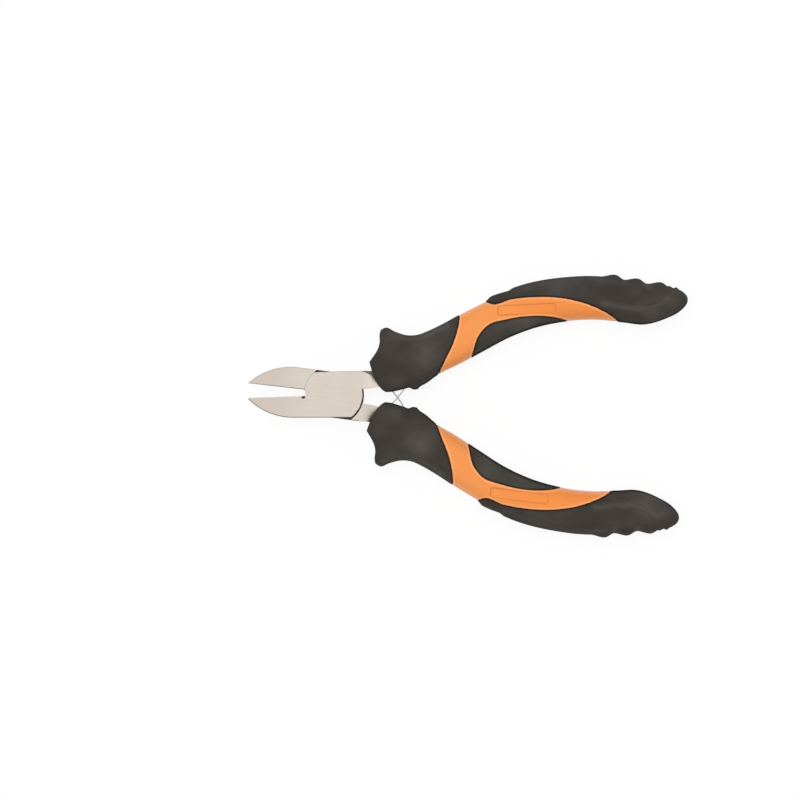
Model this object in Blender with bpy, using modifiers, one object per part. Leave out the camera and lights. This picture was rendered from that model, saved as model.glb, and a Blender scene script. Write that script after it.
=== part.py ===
"""Small diagonal cutter: two lapped steel halves on a flush rivet, crossed leaf springs, moulded grips.

Each half is modelled closed in its own frame: pivot axis on Z through the origin, cutting edge on
the centre line, jaw towards -X, handle towards +X and +Y. The rear half is such a half turned over
about X. An empty on the pivot axis carries each half and opens it to its rest angle.
"""

import math

import bmesh
import bpy
from mathutils import Matrix, Vector

# Joint and head, in metres.
JOINT_THICKNESS = 0.0076
LAP_RADIUS = 0.0085
LAP_SWING_GAP = 0.0002
LAP_FACE_GAP = 0.0001
HEAD_HALF_WIDTH = 0.00655
REST_OPENING = math.radians(9.6)

# Jaws.
JAW_LENGTH = 0.0246
JAW_SHOULDER = 0.011
JAW_TIP_WIDTH = 0.0005
JAW_TIP_THICKNESS = 0.0034
JAW_TAPER_START = 0.0105
EDGE_GAP = 0.00004
FACE_BEVEL_DEPTH = 0.0007
FACE_BEVEL_WIDTH = 0.00035
BACK_BEVEL_ANGLE = math.radians(22.0)
THROAT_RELIEF_RADIUS = 0.0005

# Rivet.
RIVET_DIAMETER = 0.0052
RIVET_HEAD_DIAMETER = 0.0072
RIVET_HEAD_HEIGHT = 0.001
RIVET_CLEARANCE = 0.00006

# Tangs.
TANG_WIDTH = 0.0051
TANG_END_WIDTH = 0.0036
TANG_THICKNESS = 0.0054
TANG_RAMP_START = 0.0074
TANG_RAMP_END = 0.011
TANG_FIT = 0.0003

# Leaf springs and their pins.
SPRING_THICKNESS = 0.00035
SPRING_WIDTH = 0.0017
SPRING_SPACING = 0.0004
SPRING_ROOT_LEAN = math.radians(58.0)
SPRING_REST_REACH = 0.0158
SPRING_TIP_DEPTH = 0.001
PIN_DIAMETER = 0.001
PIN_CLEARANCE = 0.0001
PIN_REACH = 0.0224
PIN_SEAT = 0.0007
EYE_WRAP = math.radians(265.0)
EYE_TANG_GAP = 0.0004
SLOT_SIDE_GAP = 0.0003
SLOT_EYE_GAP = 0.0004

# Grips.
GUARD_DEPTH = 0.0106
NECK_DEPTH = 0.0104
BELLY_DEPTH = 0.0118
HEEL_DEPTH = 0.0112
TIP_DEPTH = 0.0042
SKIN = 0.0018
SEAM = 0.00025
CORE_SINK = 0.00015
FRONT_SQUARENESS = 4.0
BACK_SQUARENESS = 2.5
RIB_COUNT = 3
RIB_PITCH = 0.0068
RIB_HEIGHT = 0.0008
RIB_FIRST = 0.0810
LIP_HEIGHT = 0.0006
LIP_STARTS = (0.0445, 0.0520)
LIP_LENGTHS = (0.0075, 0.0180)

# Grip sections from the front rim to the tip of the butt: the inner edge, then the outer edge.
GRIP_SECTIONS = (
    ((0.0153, 0.00040), (0.0144, 0.01820)),
    ((0.0170, 0.00048), (0.0158, 0.01885)),
    ((0.0200, 0.00072), (0.0182, 0.01760)),
    ((0.0236, 0.00100), (0.0218, 0.01635)),
    ((0.0262, 0.00200), (0.0246, 0.01625)),
    ((0.0300, 0.00440), (0.0274, 0.01710)),
    ((0.0360, 0.00700), (0.0310, 0.01860)),
    ((0.0433, 0.01060), (0.0379, 0.02195)),
    ((0.0516, 0.01450), (0.0470, 0.02595)),
    ((0.0599, 0.01705), (0.0572, 0.02930)),
    ((0.0680, 0.01825), (0.0676, 0.03090)),
    ((0.0760, 0.01830), (0.0774, 0.03080)),
    ((0.0840, 0.01720), (0.0860, 0.02960)),
    ((0.0900, 0.01635), (0.0925, 0.02820)),
    ((0.0960, 0.01775), (0.0978, 0.02690)),
    ((0.1004, 0.02020), (0.1015, 0.02530)),
    ((0.1028, 0.02260), (0.1028, 0.02360)),
)
NECK_SECTION = 3
OVAL_SECTION = 7
BELLY_SECTION = 9
HEEL_SECTION = 13
LAST_SECTION = len(GRIP_SECTIONS) - 1
DEPTH_KEYS = ((0, GUARD_DEPTH), (NECK_SECTION, NECK_DEPTH), (BELLY_SECTION, BELLY_DEPTH),
              (HEEL_SECTION, HEEL_DEPTH))
TANG_SECTIONS = (4, 6, 7, 8, 9, 10)
CORE_FIRST_SECTION = 1.2
CORE_LAST_SECTION = 15.0

# Front rim of the guard from its inner corner over the nose, its fourth point, to the thumb horn.
FRONT_RIM = (
    (0.0153, 0.00040), (0.0138, 0.00190), (0.0120, 0.00540), (0.01085, 0.00885),
    (0.0113, 0.00990), (0.0132, 0.01290), (0.0140, 0.01590), (0.0144, 0.01820),
)
NOSE_REACH = FRONT_RIM[3][0]

# Seams between the orange core and the black pieces, seen from the front.
GUARD_SEAM = (
    (0.0268, -0.0020), (0.0320, 0.0082), (0.0350, 0.0140), (0.0367, 0.0195), (0.0373, 0.0260),
)
INLAY_SEAM = (
    (0.0389, 0.0055), (0.0403, 0.0103), (0.0423, 0.0153), (0.0450, 0.0179),
    (0.0505, 0.0193), (0.0580, 0.01995), (0.0640, 0.01935), (0.0705, 0.0174), (0.0760, 0.0150),
)
SLEEVE_SEAM = (
    (0.0436, 0.0300), (0.0446, 0.0250), (0.0462, 0.0241), (0.0520, 0.02515), (0.0595, 0.02545),
    (0.0670, 0.02465), (0.0740, 0.02255), (0.0790, 0.0200), (0.0845, 0.0160),
)

# Mesh fineness.
RING_SIDES = 16
RING_STEP = 0.0023
CORE_RING_SIDES = 12
CORE_RING_STEP = 0.005
CURVE_STEPS = 5
TANG_STEPS = 4
SPRING_STEPS = 8
PLACE_SAMPLES = 400
LEAST_RING_RUN = 0.15
ARC_STEP = math.radians(6.0)
ROUND_SIDES = 40
PIN_SIDES = 16
SMOOTH_ANGLE = math.radians(30.0)
WELD = 1e-7
CUT_MARGIN = 0.002
MILLIMETRE = 0.001

LAP_PLANE = JOINT_THICKNESS / 2
SLOT_HALF_WIDTH = SPRING_SPACING / 2 + SPRING_WIDTH + SLOT_SIDE_GAP
EYE_RADIUS = PIN_DIAMETER / 2 + PIN_CLEARANCE + SPRING_THICKNESS / 2
EYE_OUTSIDE = EYE_RADIUS + SPRING_THICKNESS / 2


# Plane curves

def direction_at(before, here, after):
    """Direction per unit length of a smooth curve at a point between two others."""
    back = (here - before).length
    ahead = (after - here).length
    if back == 0:
        return (after - here) / ahead
    if ahead == 0:
        return (here - before) / back
    return ((after - here) / ahead * back + (here - before) / back * ahead) / (back + ahead)


def spline_at(points, place):
    """Point of the smooth curve through the points, where point i lies at place i."""
    index = min(int(place), len(points) - 2)
    share = place - index
    before = Vector(points[max(index - 1, 0)])
    start = Vector(points[index])
    end = Vector(points[index + 1])
    after = Vector(points[min(index + 2, len(points) - 1)])
    run = (end - start).length
    leave = direction_at(before, start, end) * run
    arrive = direction_at(start, end, after) * run
    square = share * share
    cube = square * share
    return (start * (2 * cube - 3 * square + 1) + leave * (cube - 2 * square + share)
            + end * (3 * square - 2 * cube) + arrive * (cube - square))


def smooth(points, steps):
    """The smooth curve through the points, with the given steps from point to point."""
    count = (len(points) - 1) * steps
    return [spline_at(points, i / steps) for i in range(count + 1)]


def along(path, share):
    """Point at a share of the length of a path."""
    lengths = [(b - a).length for a, b in zip(path, path[1:])]
    rest = share * sum(lengths)
    for start, end, length in zip(path, path[1:], lengths):
        if rest <= length:
            return start.lerp(end, rest / length)
        rest -= length
    return path[-1].copy()


def arc(radius, first, last, centre=(0.0, 0.0)):
    """Points of an arc from the first to the last angle."""
    steps = max(2, math.ceil(abs(last - first) / ARC_STEP))
    angles = [first + (last - first) * i / steps for i in range(steps + 1)]
    return [Vector((centre[0] + radius * math.cos(a), centre[1] + radius * math.sin(a))) for a in angles]


def offset(path, distances):
    """The path moved sideways, to its left for a positive distance, one distance for each point."""
    moved = []
    for i, point in enumerate(path):
        way = (path[min(i + 1, len(path) - 1)] - path[max(i - 1, 0)]).normalized()
        moved.append(point + Vector((-way.y, way.x)) * distances[i])
    return moved


def strip(path, half_widths):
    """Closed outline of a strip along a path."""
    left = offset(path, half_widths)
    right = offset(path, [-w for w in half_widths])
    return left + right[::-1]


def turned(point, angle):
    """A plane point turned about the pivot."""
    return Matrix.Rotation(angle, 2) @ Vector(point)


# Solids

def new_object(name, mesh, collection):
    """A named object in one of the two collections."""
    item = bpy.data.objects.new(name, mesh)
    collection.objects.link(item)
    return item


def prism(name, outline, low, high, collection, turn=None):
    """Solid of a closed plane outline between two heights, turned into another plane if asked.

    The outline is filled in millimetres, because filling loses corners that are far below a metre.
    """
    curve = bpy.data.curves.new(name, 'CURVE')
    curve.dimensions = '2D'
    curve.fill_mode = 'BOTH'
    curve.extrude = (high - low) / 2 / MILLIMETRE
    spline = curve.splines.new('POLY')
    spline.points.add(len(outline) - 1)
    for corner, point in zip(spline.points, outline):
        corner.co = (point[0] / MILLIMETRE, point[1] / MILLIMETRE, 0.0, 1.0)
    spline.use_cyclic_u = True
    draft = new_object(name, curve, collection)
    bpy.context.view_layer.update()
    mesh = bpy.data.meshes.new_from_object(draft.evaluated_get(bpy.context.evaluated_depsgraph_get()))
    bpy.data.objects.remove(draft)
    bpy.data.curves.remove(curve)
    mesh.transform(Matrix.Translation((0.0, 0.0, (high + low) / 2)) @ Matrix.Scale(MILLIMETRE, 4))
    if turn is not None:
        mesh.transform(turn)
    work = bmesh.new()
    work.from_mesh(mesh)
    bmesh.ops.remove_doubles(work, verts=work.verts, dist=WELD)
    bmesh.ops.recalc_face_normals(work, faces=work.faces)
    work.to_mesh(mesh)
    work.free()
    mesh.name = name
    return new_object(name, mesh, collection)


SIDE_VIEW = Matrix.Rotation(math.radians(90.0), 4, 'X')
END_VIEW = Matrix(((0, 0, 1, 0), (1, 0, 0, 0), (0, 1, 0, 0), (0, 0, 0, 1)))


def round_bar(name, radius, low, high, place, sides, collection):
    """Upright cylinder."""
    mesh = bpy.data.meshes.new(name)
    work = bmesh.new()
    bmesh.ops.create_cone(work, cap_ends=True, segments=sides, radius1=radius, radius2=radius,
                          depth=high - low)
    bmesh.ops.translate(work, verts=work.verts, vec=(place[0], place[1], (high + low) / 2))
    work.to_mesh(mesh)
    work.free()
    return new_object(name, mesh, collection)


def loft(name, rings, collection):
    """Closed solid through rings of points; each end is closed by strips across the ring."""
    mesh = bpy.data.meshes.new(name)
    work = bmesh.new()
    rows = [[work.verts.new(point) for point in ring] for ring in rings]
    sides = len(rings[0])
    for row, following in zip(rows, rows[1:]):
        for k in range(sides):
            after = (k + 1) % sides
            work.faces.new((row[k], row[after], following[after], following[k]))
    for row in (rows[0], rows[-1]):
        for k in range(sides // 2):
            corners = [row[k], row[k + 1], row[(sides - k - 1) % sides], row[(sides - k) % sides]]
            work.faces.new(list(dict.fromkeys(corners)))
    bmesh.ops.recalc_face_normals(work, faces=work.faces)
    work.to_mesh(mesh)
    work.free()
    return new_object(name, mesh, collection)


def combine(target, operation, tool):
    """Apply an exact Boolean of the tool to the target."""
    modifier = target.modifiers.new(operation.lower(), 'BOOLEAN')
    modifier.operation = operation
    modifier.solver = 'EXACT'
    modifier.object = tool
    bpy.context.view_layer.update()
    graph = bpy.context.evaluated_depsgraph_get()
    mesh = bpy.data.meshes.new_from_object(target.evaluated_get(graph))
    target.modifiers.clear()
    old = target.data
    target.data = mesh
    mesh.name = old.name
    bpy.data.meshes.remove(old)


def cut(target, *tools):
    """Cut tools out of a solid."""
    for tool in tools:
        combine(target, 'DIFFERENCE', tool)


# Grip shape

def section_edges(place):
    """Inner and outer edge of the grip at a section number, which may lie between sections."""
    inner = spline_at([section[0] for section in GRIP_SECTIONS], place)
    outer = spline_at([section[1] for section in GRIP_SECTIONS], place)
    return inner, outer


def keyed(place, keys):
    """Value eased between keyed section numbers."""
    for (first, start), (last, end) in zip(keys, keys[1:]):
        if place <= last:
            share = (place - first) / (last - first)
            return start + (end - start) * share * share * (3 - 2 * share)
    return keys[-1][1]


def butt_round(place):
    """Share of the depth that is left where the butt rounds off."""
    share = max(0.0, (place - HEEL_SECTION) / (LAST_SECTION - HEEL_SECTION))
    return math.sqrt(max(0.0, 1 - share ** 3))


def grip_half_depth(place):
    """Half the grip's depth at a section number."""
    if place <= HEEL_SECTION:
        return keyed(place, DEPTH_KEYS) / 2
    return (TIP_DEPTH + (HEEL_DEPTH - TIP_DEPTH) * butt_round(place)) / 2


def squareness(place):
    """Exponent of the section's superellipse: square at the guard, oval towards the butt."""
    share = min(place / OVAL_SECTION, 1.0)
    return FRONT_SQUARENESS + (BACK_SQUARENESS - FRONT_SQUARENESS) * share


def ridge_rise(reach):
    """Height of the sleeve's lips and butt ribs on the outer edge, by distance along X."""
    rise = 0.0
    for start, length in zip(LIP_STARTS, LIP_LENGTHS):
        if start <= reach <= start + length:
            rise = LIP_HEIGHT * (1 - (reach - start) / length)
    phase = (reach - RIB_FIRST) / RIB_PITCH
    if -0.5 <= phase <= RIB_COUNT - 0.5:
        rise += RIB_HEIGHT * (0.5 + 0.5 * math.cos(2 * math.pi * phase))
    return rise


def grip_ring(place, sides, inset=0.0, ridged=False):
    """One section of the grip as a ring of points, set in from the surface by an inset."""
    inner, outer = section_edges(place)
    across = (outer - inner).normalized()
    width = (outer - inner).length - 2 * inset
    half_depth = grip_half_depth(place) - inset
    power = 2 / squareness(place)
    front_inner, front_outer = section_edges(0)
    rim = smooth(FRONT_RIM, CURVE_STEPS)
    blend = max(0.0, 1 - place / NECK_SECTION) ** 2
    ring = []
    for k in range(sides):
        angle = 2 * math.pi * k / sides
        side = math.copysign(abs(math.cos(angle)) ** power, math.cos(angle))
        lift = math.copysign(abs(math.sin(angle)) ** power, math.sin(angle))
        share = 0.5 - 0.5 * side
        point = inner + across * (inset + width * share)
        if blend > 0:
            point += (along(rim, share) - front_inner.lerp(front_outer, share)) * blend
        if ridged and share > 0.5:
            point += across * ridge_rise(point.x) * (2 * share - 1)
        ring.append(Vector((point.x, point.y, LAP_PLANE + half_depth * lift)))
    return ring


def ring_places(first, last, step):
    """Section numbers from first to last that lie about one step apart along the outer edge."""
    fine = [first + (last - first) * i / PLACE_SAMPLES for i in range(PLACE_SAMPLES + 1)]
    places = [first]
    run = 0.0
    for a, b in zip(fine, fine[1:]):
        run += (section_edges(b)[1] - section_edges(a)[1]).length
        if run >= step:
            places.append(b)
            run = 0.0
    if last - places[-1] < LEAST_RING_RUN:
        places.pop()
    return places + [last]


def grip_solid(name, inset, ridged, collection):
    """The whole outer form of a grip."""
    places = ring_places(0.0, LAST_SECTION, RING_STEP)
    return loft(name, [grip_ring(p, RING_SIDES, inset, ridged) for p in places], collection)


def sleeve_bore(name, inset, collection):
    """The form of the core's inner sleeve, which the black pieces are moulded over."""
    places = ring_places(CORE_FIRST_SECTION, CORE_LAST_SECTION, CORE_RING_STEP)
    return loft(name, [grip_ring(p, CORE_RING_SIDES, inset) for p in places], collection)


def zone(name, seam, corners, gap, collection):
    """Prism over one side of a seam, with the seam drawn back by a gap."""
    path = smooth(seam, CURVE_STEPS)
    path = offset(path, [gap] * len(path))
    reach = GUARD_DEPTH + BELLY_DEPTH
    outline = path + [Vector(corner) for corner in corners]
    return prism(name, outline, LAP_PLANE - reach, LAP_PLANE + reach, collection)


# Tang and spring lay-out

def tang_path():
    """Middle line of the tang and its half widths, from the lap disc into the grip."""
    head = HEAD_HALF_WIDTH - TANG_WIDTH / 2
    heel = math.sqrt(LAP_RADIUS ** 2 - (head - TANG_WIDTH / 2) ** 2)
    points = [Vector((heel, head)), Vector((TANG_RAMP_END, head))]
    for index in TANG_SECTIONS:
        inner, outer = section_edges(index)
        points.append((inner + outer) / 2)
    path = smooth(points, TANG_STEPS)
    steps = len(path) - 1
    widths = [(TANG_WIDTH + (TANG_END_WIDTH - TANG_WIDTH) * i / steps) / 2 for i in range(steps + 1)]
    return path, widths


def at_reach(path, reach):
    """Point of a path at a distance along X; beyond its ends the path runs straight on."""
    for start, end in zip(path, path[1:]):
        if reach <= end.x:
            break
    return start + (end - start) * ((reach - start.x) / (end.x - start.x))


def pin_place():
    """Centre of the spring pin in the half's frame: the spring's eye runs clear beside the tang."""
    path, widths = tang_path()
    return at_reach(offset(path, [-(w + EYE_TANG_GAP + EYE_OUTSIDE) for w in widths]), PIN_REACH)


def spring_path():
    """Middle line of a leaf spring at rest, from the end of its eye to its free end, about the pin."""
    pin = pin_place()
    edge = at_reach([Vector(inner) for inner, outer in GRIP_SECTIONS], SPRING_REST_REACH)
    tip = turned((SPRING_REST_REACH, -edge.y - SPRING_TIP_DEPTH), -REST_OPENING) - pin
    way = Vector((-math.cos(SPRING_ROOT_LEAN), -math.sin(SPRING_ROOT_LEAN)))
    leave = math.pi - (math.pi / 2 - SPRING_ROOT_LEAN)
    path = arc(EYE_RADIUS, leave - EYE_WRAP, leave)
    start = path[-1]
    control = start + way * (tip - start).length / 2
    for i in range(1, SPRING_STEPS + 1):
        share = i / SPRING_STEPS
        path.append(start * (1 - share) ** 2 + control * 2 * share * (1 - share) + tip * share ** 2)
    return path


def slot_outline():
    """Outline of the slot in the guard and core that the springs lie and fold in, up to the tang."""
    pin = pin_place()
    pocket = EYE_OUTSIDE + SLOT_EYE_GAP
    middle = tang_path()[0]
    outline = [Vector((NOSE_REACH, -CUT_MARGIN)), Vector((pin.x + pocket, -CUT_MARGIN))]
    outline += arc(pocket, 0.0, math.pi / 2, pin)
    outline.append(at_reach(middle, pin.x))
    outline.append(at_reach(middle, NOSE_REACH))
    return outline


# Pieces

def half_outline():
    """Outline of one closed half: jaw below the centre line, lap disc, tang above it."""
    side = math.asin(HEAD_HALF_WIDTH / LAP_RADIUS)
    edge = EDGE_GAP / 2
    run = JAW_LENGTH - JAW_SHOULDER
    drop = HEAD_HALF_WIDTH - JAW_TIP_WIDTH
    back = (run ** 2 + drop ** 2) / (2 * drop)
    centre = (-JAW_SHOULDER, back - HEAD_HALF_WIDTH)
    tip_angle = math.pi + math.asin((back - drop) / back)
    path, widths = tang_path()
    tang = strip(path, [-w for w in widths])
    heel = math.atan2(tang[0].y, tang[0].x)
    outline = [Vector((-JAW_LENGTH, -edge))]
    outline += arc(back, tip_angle, 1.5 * math.pi, centre)
    outline += arc(LAP_RADIUS, -side, heel)[:-1]
    outline += tang
    outline += arc(LAP_RADIUS, math.pi - side, math.pi + math.asin(edge / LAP_RADIUS))
    return outline


def rivet_profile(gap, overrun):
    """Half profile of the rivet from its front face to its rear face, opened by a gap."""
    head = RIVET_HEAD_DIAMETER / 2 + gap
    shank = RIVET_DIAMETER / 2 + gap
    top = JOINT_THICKNESS + overrun
    bottom = -overrun
    return [(0.0, top), (head, top), (head, JOINT_THICKNESS), (shank, JOINT_THICKNESS - RIVET_HEAD_HEIGHT),
            (shank, RIVET_HEAD_HEIGHT), (head, 0.0), (head, bottom), (0.0, bottom)]


def turned_solid(name, profile, collection):
    """Solid of a half profile turned about the pivot axis with a Screw modifier."""
    points = list(dict.fromkeys(profile))
    mesh = bpy.data.meshes.new(name)
    edges = [(i, i + 1) for i in range(len(points) - 1)]
    mesh.from_pydata([(x, 0.0, z) for x, z in points], edges, [])
    item = new_object(name, mesh, collection)
    screw = item.modifiers.new('turn', 'SCREW')
    screw.steps = ROUND_SIDES
    screw.render_steps = ROUND_SIDES
    screw.use_merge_vertices = True
    screw.merge_threshold = WELD
    return item


def grind_tools(label, flip, cutters):
    """Tools that taper the jaws' back and grind the two bevels of the cutting edges."""
    def level(z):
        return JOINT_THICKNESS - z if flip else z
    wide = HEAD_HALF_WIDTH + CUT_MARGIN
    far = JAW_LENGTH + CUT_MARGIN
    slope = (JOINT_THICKNESS - JAW_TIP_THICKNESS) / (JAW_LENGTH - JAW_TAPER_START)
    taper = [(-JAW_TAPER_START, level(0.0)), (-far, level(slope * (far - JAW_TAPER_START))),
             (-far, level(-CUT_MARGIN)), (-JAW_TAPER_START, level(-CUT_MARGIN))]
    edge = JOINT_THICKNESS - FACE_BEVEL_DEPTH
    back = (edge + CUT_MARGIN) * math.tan(BACK_BEVEL_ANGLE)
    face = FACE_BEVEL_WIDTH * (FACE_BEVEL_DEPTH + CUT_MARGIN) / FACE_BEVEL_DEPTH
    back_vee = [(0.0, level(edge)), (back, level(-CUT_MARGIN)), (-back, level(-CUT_MARGIN))]
    face_top = level(JOINT_THICKNESS + CUT_MARGIN)
    face_vee = [(0.0, level(edge)), (face, face_top), (-face, face_top)]
    root = LAP_RADIUS + LAP_SWING_GAP + THROAT_RELIEF_RADIUS
    return [
        prism(label + '_taper', taper, -wide, wide, cutters, SIDE_VIEW),
        prism(label + '_back_bevel', back_vee, -far, -root, cutters, END_VIEW),
        prism(label + '_face_bevel', face_vee, -far, -root, cutters, END_VIEW),
        round_bar(label + '_throat', THROAT_RELIEF_RADIUS, -CUT_MARGIN, JOINT_THICKNESS + CUT_MARGIN,
                  (-root, 0.0), PIN_SIDES, cutters),
    ]


def half(name, flip, parts, cutters):
    """One steel half; flip puts its cutting edge near the other face, for the half that is turned over."""
    body = prism(name, half_outline(), 0.0, JOINT_THICKNESS, parts)
    pocket = round_bar(name + '_pocket', LAP_RADIUS + LAP_SWING_GAP, -CUT_MARGIN,
                       LAP_PLANE + LAP_FACE_GAP / 2, (0.0, 0.0), ROUND_SIDES * 2, cutters)
    hole = turned_solid(name + '_hole', rivet_profile(RIVET_CLEARANCE, CUT_MARGIN), cutters)
    far = GRIP_SECTIONS[-1][0][0]
    low = LAP_PLANE - TANG_THICKNESS / 2
    ramp = [(TANG_RAMP_START, 0.0), (TANG_RAMP_END, low), (far, low), (far, -CUT_MARGIN),
            (TANG_RAMP_START, -CUT_MARGIN)]
    ramp_top = [(x, JOINT_THICKNESS - z) for x, z in ramp]
    thin_back = prism(name + '_tang_back', ramp, -far, far, cutters, SIDE_VIEW)
    thin_front = prism(name + '_tang_front', ramp_top, -far, far, cutters, SIDE_VIEW)
    cut(body, pocket, hole, thin_back, thin_front, *grind_tools(name, flip, cutters))
    return body


def grip_pieces(parts, cutters):
    """The core and the three black mouldings of one grip."""
    reach = GRIP_SECTIONS[-1][1][0] + CUT_MARGIN
    top = max(outer[1] for inner, outer in GRIP_SECTIONS) + CUT_MARGIN
    guard_corners = [(0.0, GUARD_SEAM[-1][1]), (0.0, GUARD_SEAM[0][1])]
    inlay_corners = [(INLAY_SEAM[-1][0], 0.0), (INLAY_SEAM[0][0], 0.0)]
    sleeve_corners = [(SLEEVE_SEAM[-1][0], 0.0), (reach, 0.0), (reach, top), (SLEEVE_SEAM[0][0], top)]
    zones = (
        ('front_guard', GUARD_SEAM, guard_corners, SEAM),
        ('inner_inlay', INLAY_SEAM, inlay_corners, -SEAM),
        ('rear_sleeve', SLEEVE_SEAM, sleeve_corners, SEAM),
    )
    path, widths = tang_path()
    lead = path[0] - (path[1] - path[0]).normalized() * TANG_FIT
    tail = path[-1] + (path[-1] - path[-2]).normalized() * TANG_FIT
    cavity = prism('tang_cavity', strip([lead] + path + [tail], [w + TANG_FIT for w in
                   [widths[0]] + widths + [widths[-1]]]), LAP_PLANE - TANG_THICKNESS / 2 - TANG_FIT,
                   LAP_PLANE + TANG_THICKNESS / 2 + TANG_FIT, cutters)
    slot = prism('spring_slot', slot_outline(), LAP_PLANE - SLOT_HALF_WIDTH,
                 LAP_PLANE + SLOT_HALF_WIDTH, cutters)
    pin_half = SLOT_HALF_WIDTH + PIN_SEAT + PIN_CLEARANCE
    pin_hole = round_bar('pin_hole', PIN_DIAMETER / 2 + PIN_CLEARANCE, LAP_PLANE - pin_half,
                         LAP_PLANE + pin_half, pin_place(), PIN_SIDES, cutters)
    bore = sleeve_bore('sleeve_bore', SKIN - SEAM, cutters)

    core = sleeve_bore('grip_core', SKIN, parts)
    band = grip_solid('orange_band', CORE_SINK, False, cutters)
    pieces = {'grip_core': core}
    for name, seam, corners, gap in zones:
        cut(band, zone(name + '_zone', seam, corners, 0.0, cutters))
        piece = grip_solid(name, 0.0, name == 'rear_sleeve', parts)
        combine(piece, 'INTERSECT', zone(name + '_part', seam, corners, gap, cutters))
        cut(piece, bore)
        pieces[name] = piece
    combine(core, 'UNION', band)
    for piece in (core, pieces['front_guard']):
        cut(piece, cavity, slot, pin_hole)
    return pieces


# Finishes

def finish(name, colour, roughness, metallic):
    """Principled material."""
    material = bpy.data.materials.new(name)
    material.use_nodes = True
    shader = material.node_tree.nodes['Principled BSDF']
    shader.inputs['Base Color'].default_value = (*colour, 1.0)
    shader.inputs['Roughness'].default_value = roughness
    shader.inputs['Metallic'].default_value = metallic
    return material


def place(item, parent, material):
    """Hang a piece on its half's empty and give it its finish."""
    item.parent = parent
    item.data.materials.clear()
    item.data.materials.append(material)
    item.data.shade_smooth()
    item.data.set_sharp_from_angle(angle=SMOOTH_ANGLE)


def pivot_empty(name, matrix, collection):
    """Empty on the pivot axis that carries one half."""
    empty = bpy.data.objects.new(name, None)
    empty.matrix_world = matrix
    collection.objects.link(empty)
    return empty


def main():
    """Build the closed pieces, then open both halves to rest."""
    for item in list(bpy.data.objects):
        bpy.data.objects.remove(item, do_unlink=True)
    parts = bpy.data.collections.new('diagonal_cutter')
    cutters = bpy.data.collections.new('cutters')
    for collection in (parts, cutters):
        bpy.context.scene.collection.children.link(collection)

    steel = finish('satin_steel', (0.66, 0.62, 0.57), 0.38, 1.0)
    spring_steel = finish('spring_steel', (0.30, 0.29, 0.28), 0.35, 1.0)
    black = finish('black_soft_grip', (0.045, 0.041, 0.038), 0.6, 0.0)
    orange = finish('orange_hard_grip', (0.93, 0.29, 0.07), 0.42, 0.0)

    turn_over = Matrix.Translation((0.0, 0.0, JOINT_THICKNESS)) @ Matrix.Rotation(math.pi, 4, 'X')
    upper = pivot_empty('upper_half_pivot', Matrix.Rotation(REST_OPENING / 2, 4, 'Z'), parts)
    lower = pivot_empty('lower_half_pivot', Matrix.Rotation(-REST_OPENING / 2, 4, 'Z') @ turn_over, parts)

    place(half('front_half', False, parts, cutters), upper, steel)
    place(half('rear_half', True, parts, cutters), lower, steel)
    place(turned_solid('pivot_rivet', rivet_profile(0.0, 0.0), parts), upper, steel)

    pin = pin_place()
    pin_half = SLOT_HALF_WIDTH + PIN_SEAT
    spring_low = LAP_PLANE - SPRING_SPACING / 2 - SPRING_WIDTH
    path = spring_path()
    pieces = grip_pieces(parts, cutters)
    pieces['spring_pin'] = round_bar('spring_pin', PIN_DIAMETER / 2, LAP_PLANE - pin_half,
                                     LAP_PLANE + pin_half, pin, PIN_SIDES, parts)
    pieces['leaf_spring'] = prism('leaf_spring', strip(path, [SPRING_THICKNESS / 2] * len(path)),
                                  spring_low, spring_low + SPRING_WIDTH, parts)
    pieces['leaf_spring'].location = (pin.x, pin.y, 0.0)
    finishes = {'grip_core': orange, 'spring_pin': steel, 'leaf_spring': spring_steel}
    for name, piece in pieces.items():
        twin = new_object('lower_' + name, piece.data, parts)
        twin.location = piece.location
        piece.name = 'upper_' + name
        for item, parent in ((piece, upper), (twin, lower)):
            place(item, parent, finishes.get(name, black))

    for tool in cutters.objects:
        tool.hide_render = True
        tool.display_type = 'WIRE'


main()
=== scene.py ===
"""Looks of a small diagonal cutter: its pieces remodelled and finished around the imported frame.

Pieces are shaped in millimetres in the closed frame of a half: pivot axis on Z through the origin,
cutting edge along the centre line, jaw towards -X, handle towards +X and +Y. A finished piece is then
placed in metres at the rest opening, and the lower handle's pieces are the same ones turned over.
"""

import logging
import math
from dataclasses import dataclass
from enum import Enum
from typing import Callable, Iterable, Sequence

import bpy
import numpy as np
from mathutils import Matrix, Vector


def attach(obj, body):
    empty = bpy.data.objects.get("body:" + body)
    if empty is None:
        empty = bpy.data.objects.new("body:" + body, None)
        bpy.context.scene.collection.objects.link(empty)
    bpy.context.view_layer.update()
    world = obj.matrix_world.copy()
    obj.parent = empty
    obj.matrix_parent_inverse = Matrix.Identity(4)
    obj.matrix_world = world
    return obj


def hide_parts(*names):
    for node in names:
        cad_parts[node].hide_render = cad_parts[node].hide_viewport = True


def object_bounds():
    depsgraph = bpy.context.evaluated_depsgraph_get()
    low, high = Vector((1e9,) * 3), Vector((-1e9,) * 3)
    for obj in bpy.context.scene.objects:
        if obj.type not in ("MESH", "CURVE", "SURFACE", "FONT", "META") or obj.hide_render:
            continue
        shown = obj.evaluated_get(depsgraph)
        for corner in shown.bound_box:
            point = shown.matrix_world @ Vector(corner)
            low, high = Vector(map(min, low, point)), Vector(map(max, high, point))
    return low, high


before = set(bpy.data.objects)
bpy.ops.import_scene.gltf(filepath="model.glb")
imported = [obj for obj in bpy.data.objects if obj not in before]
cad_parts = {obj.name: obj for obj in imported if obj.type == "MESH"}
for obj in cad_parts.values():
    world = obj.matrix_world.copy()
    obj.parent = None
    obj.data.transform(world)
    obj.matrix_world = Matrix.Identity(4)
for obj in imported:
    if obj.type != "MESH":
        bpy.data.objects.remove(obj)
CAD_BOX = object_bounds()
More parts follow.
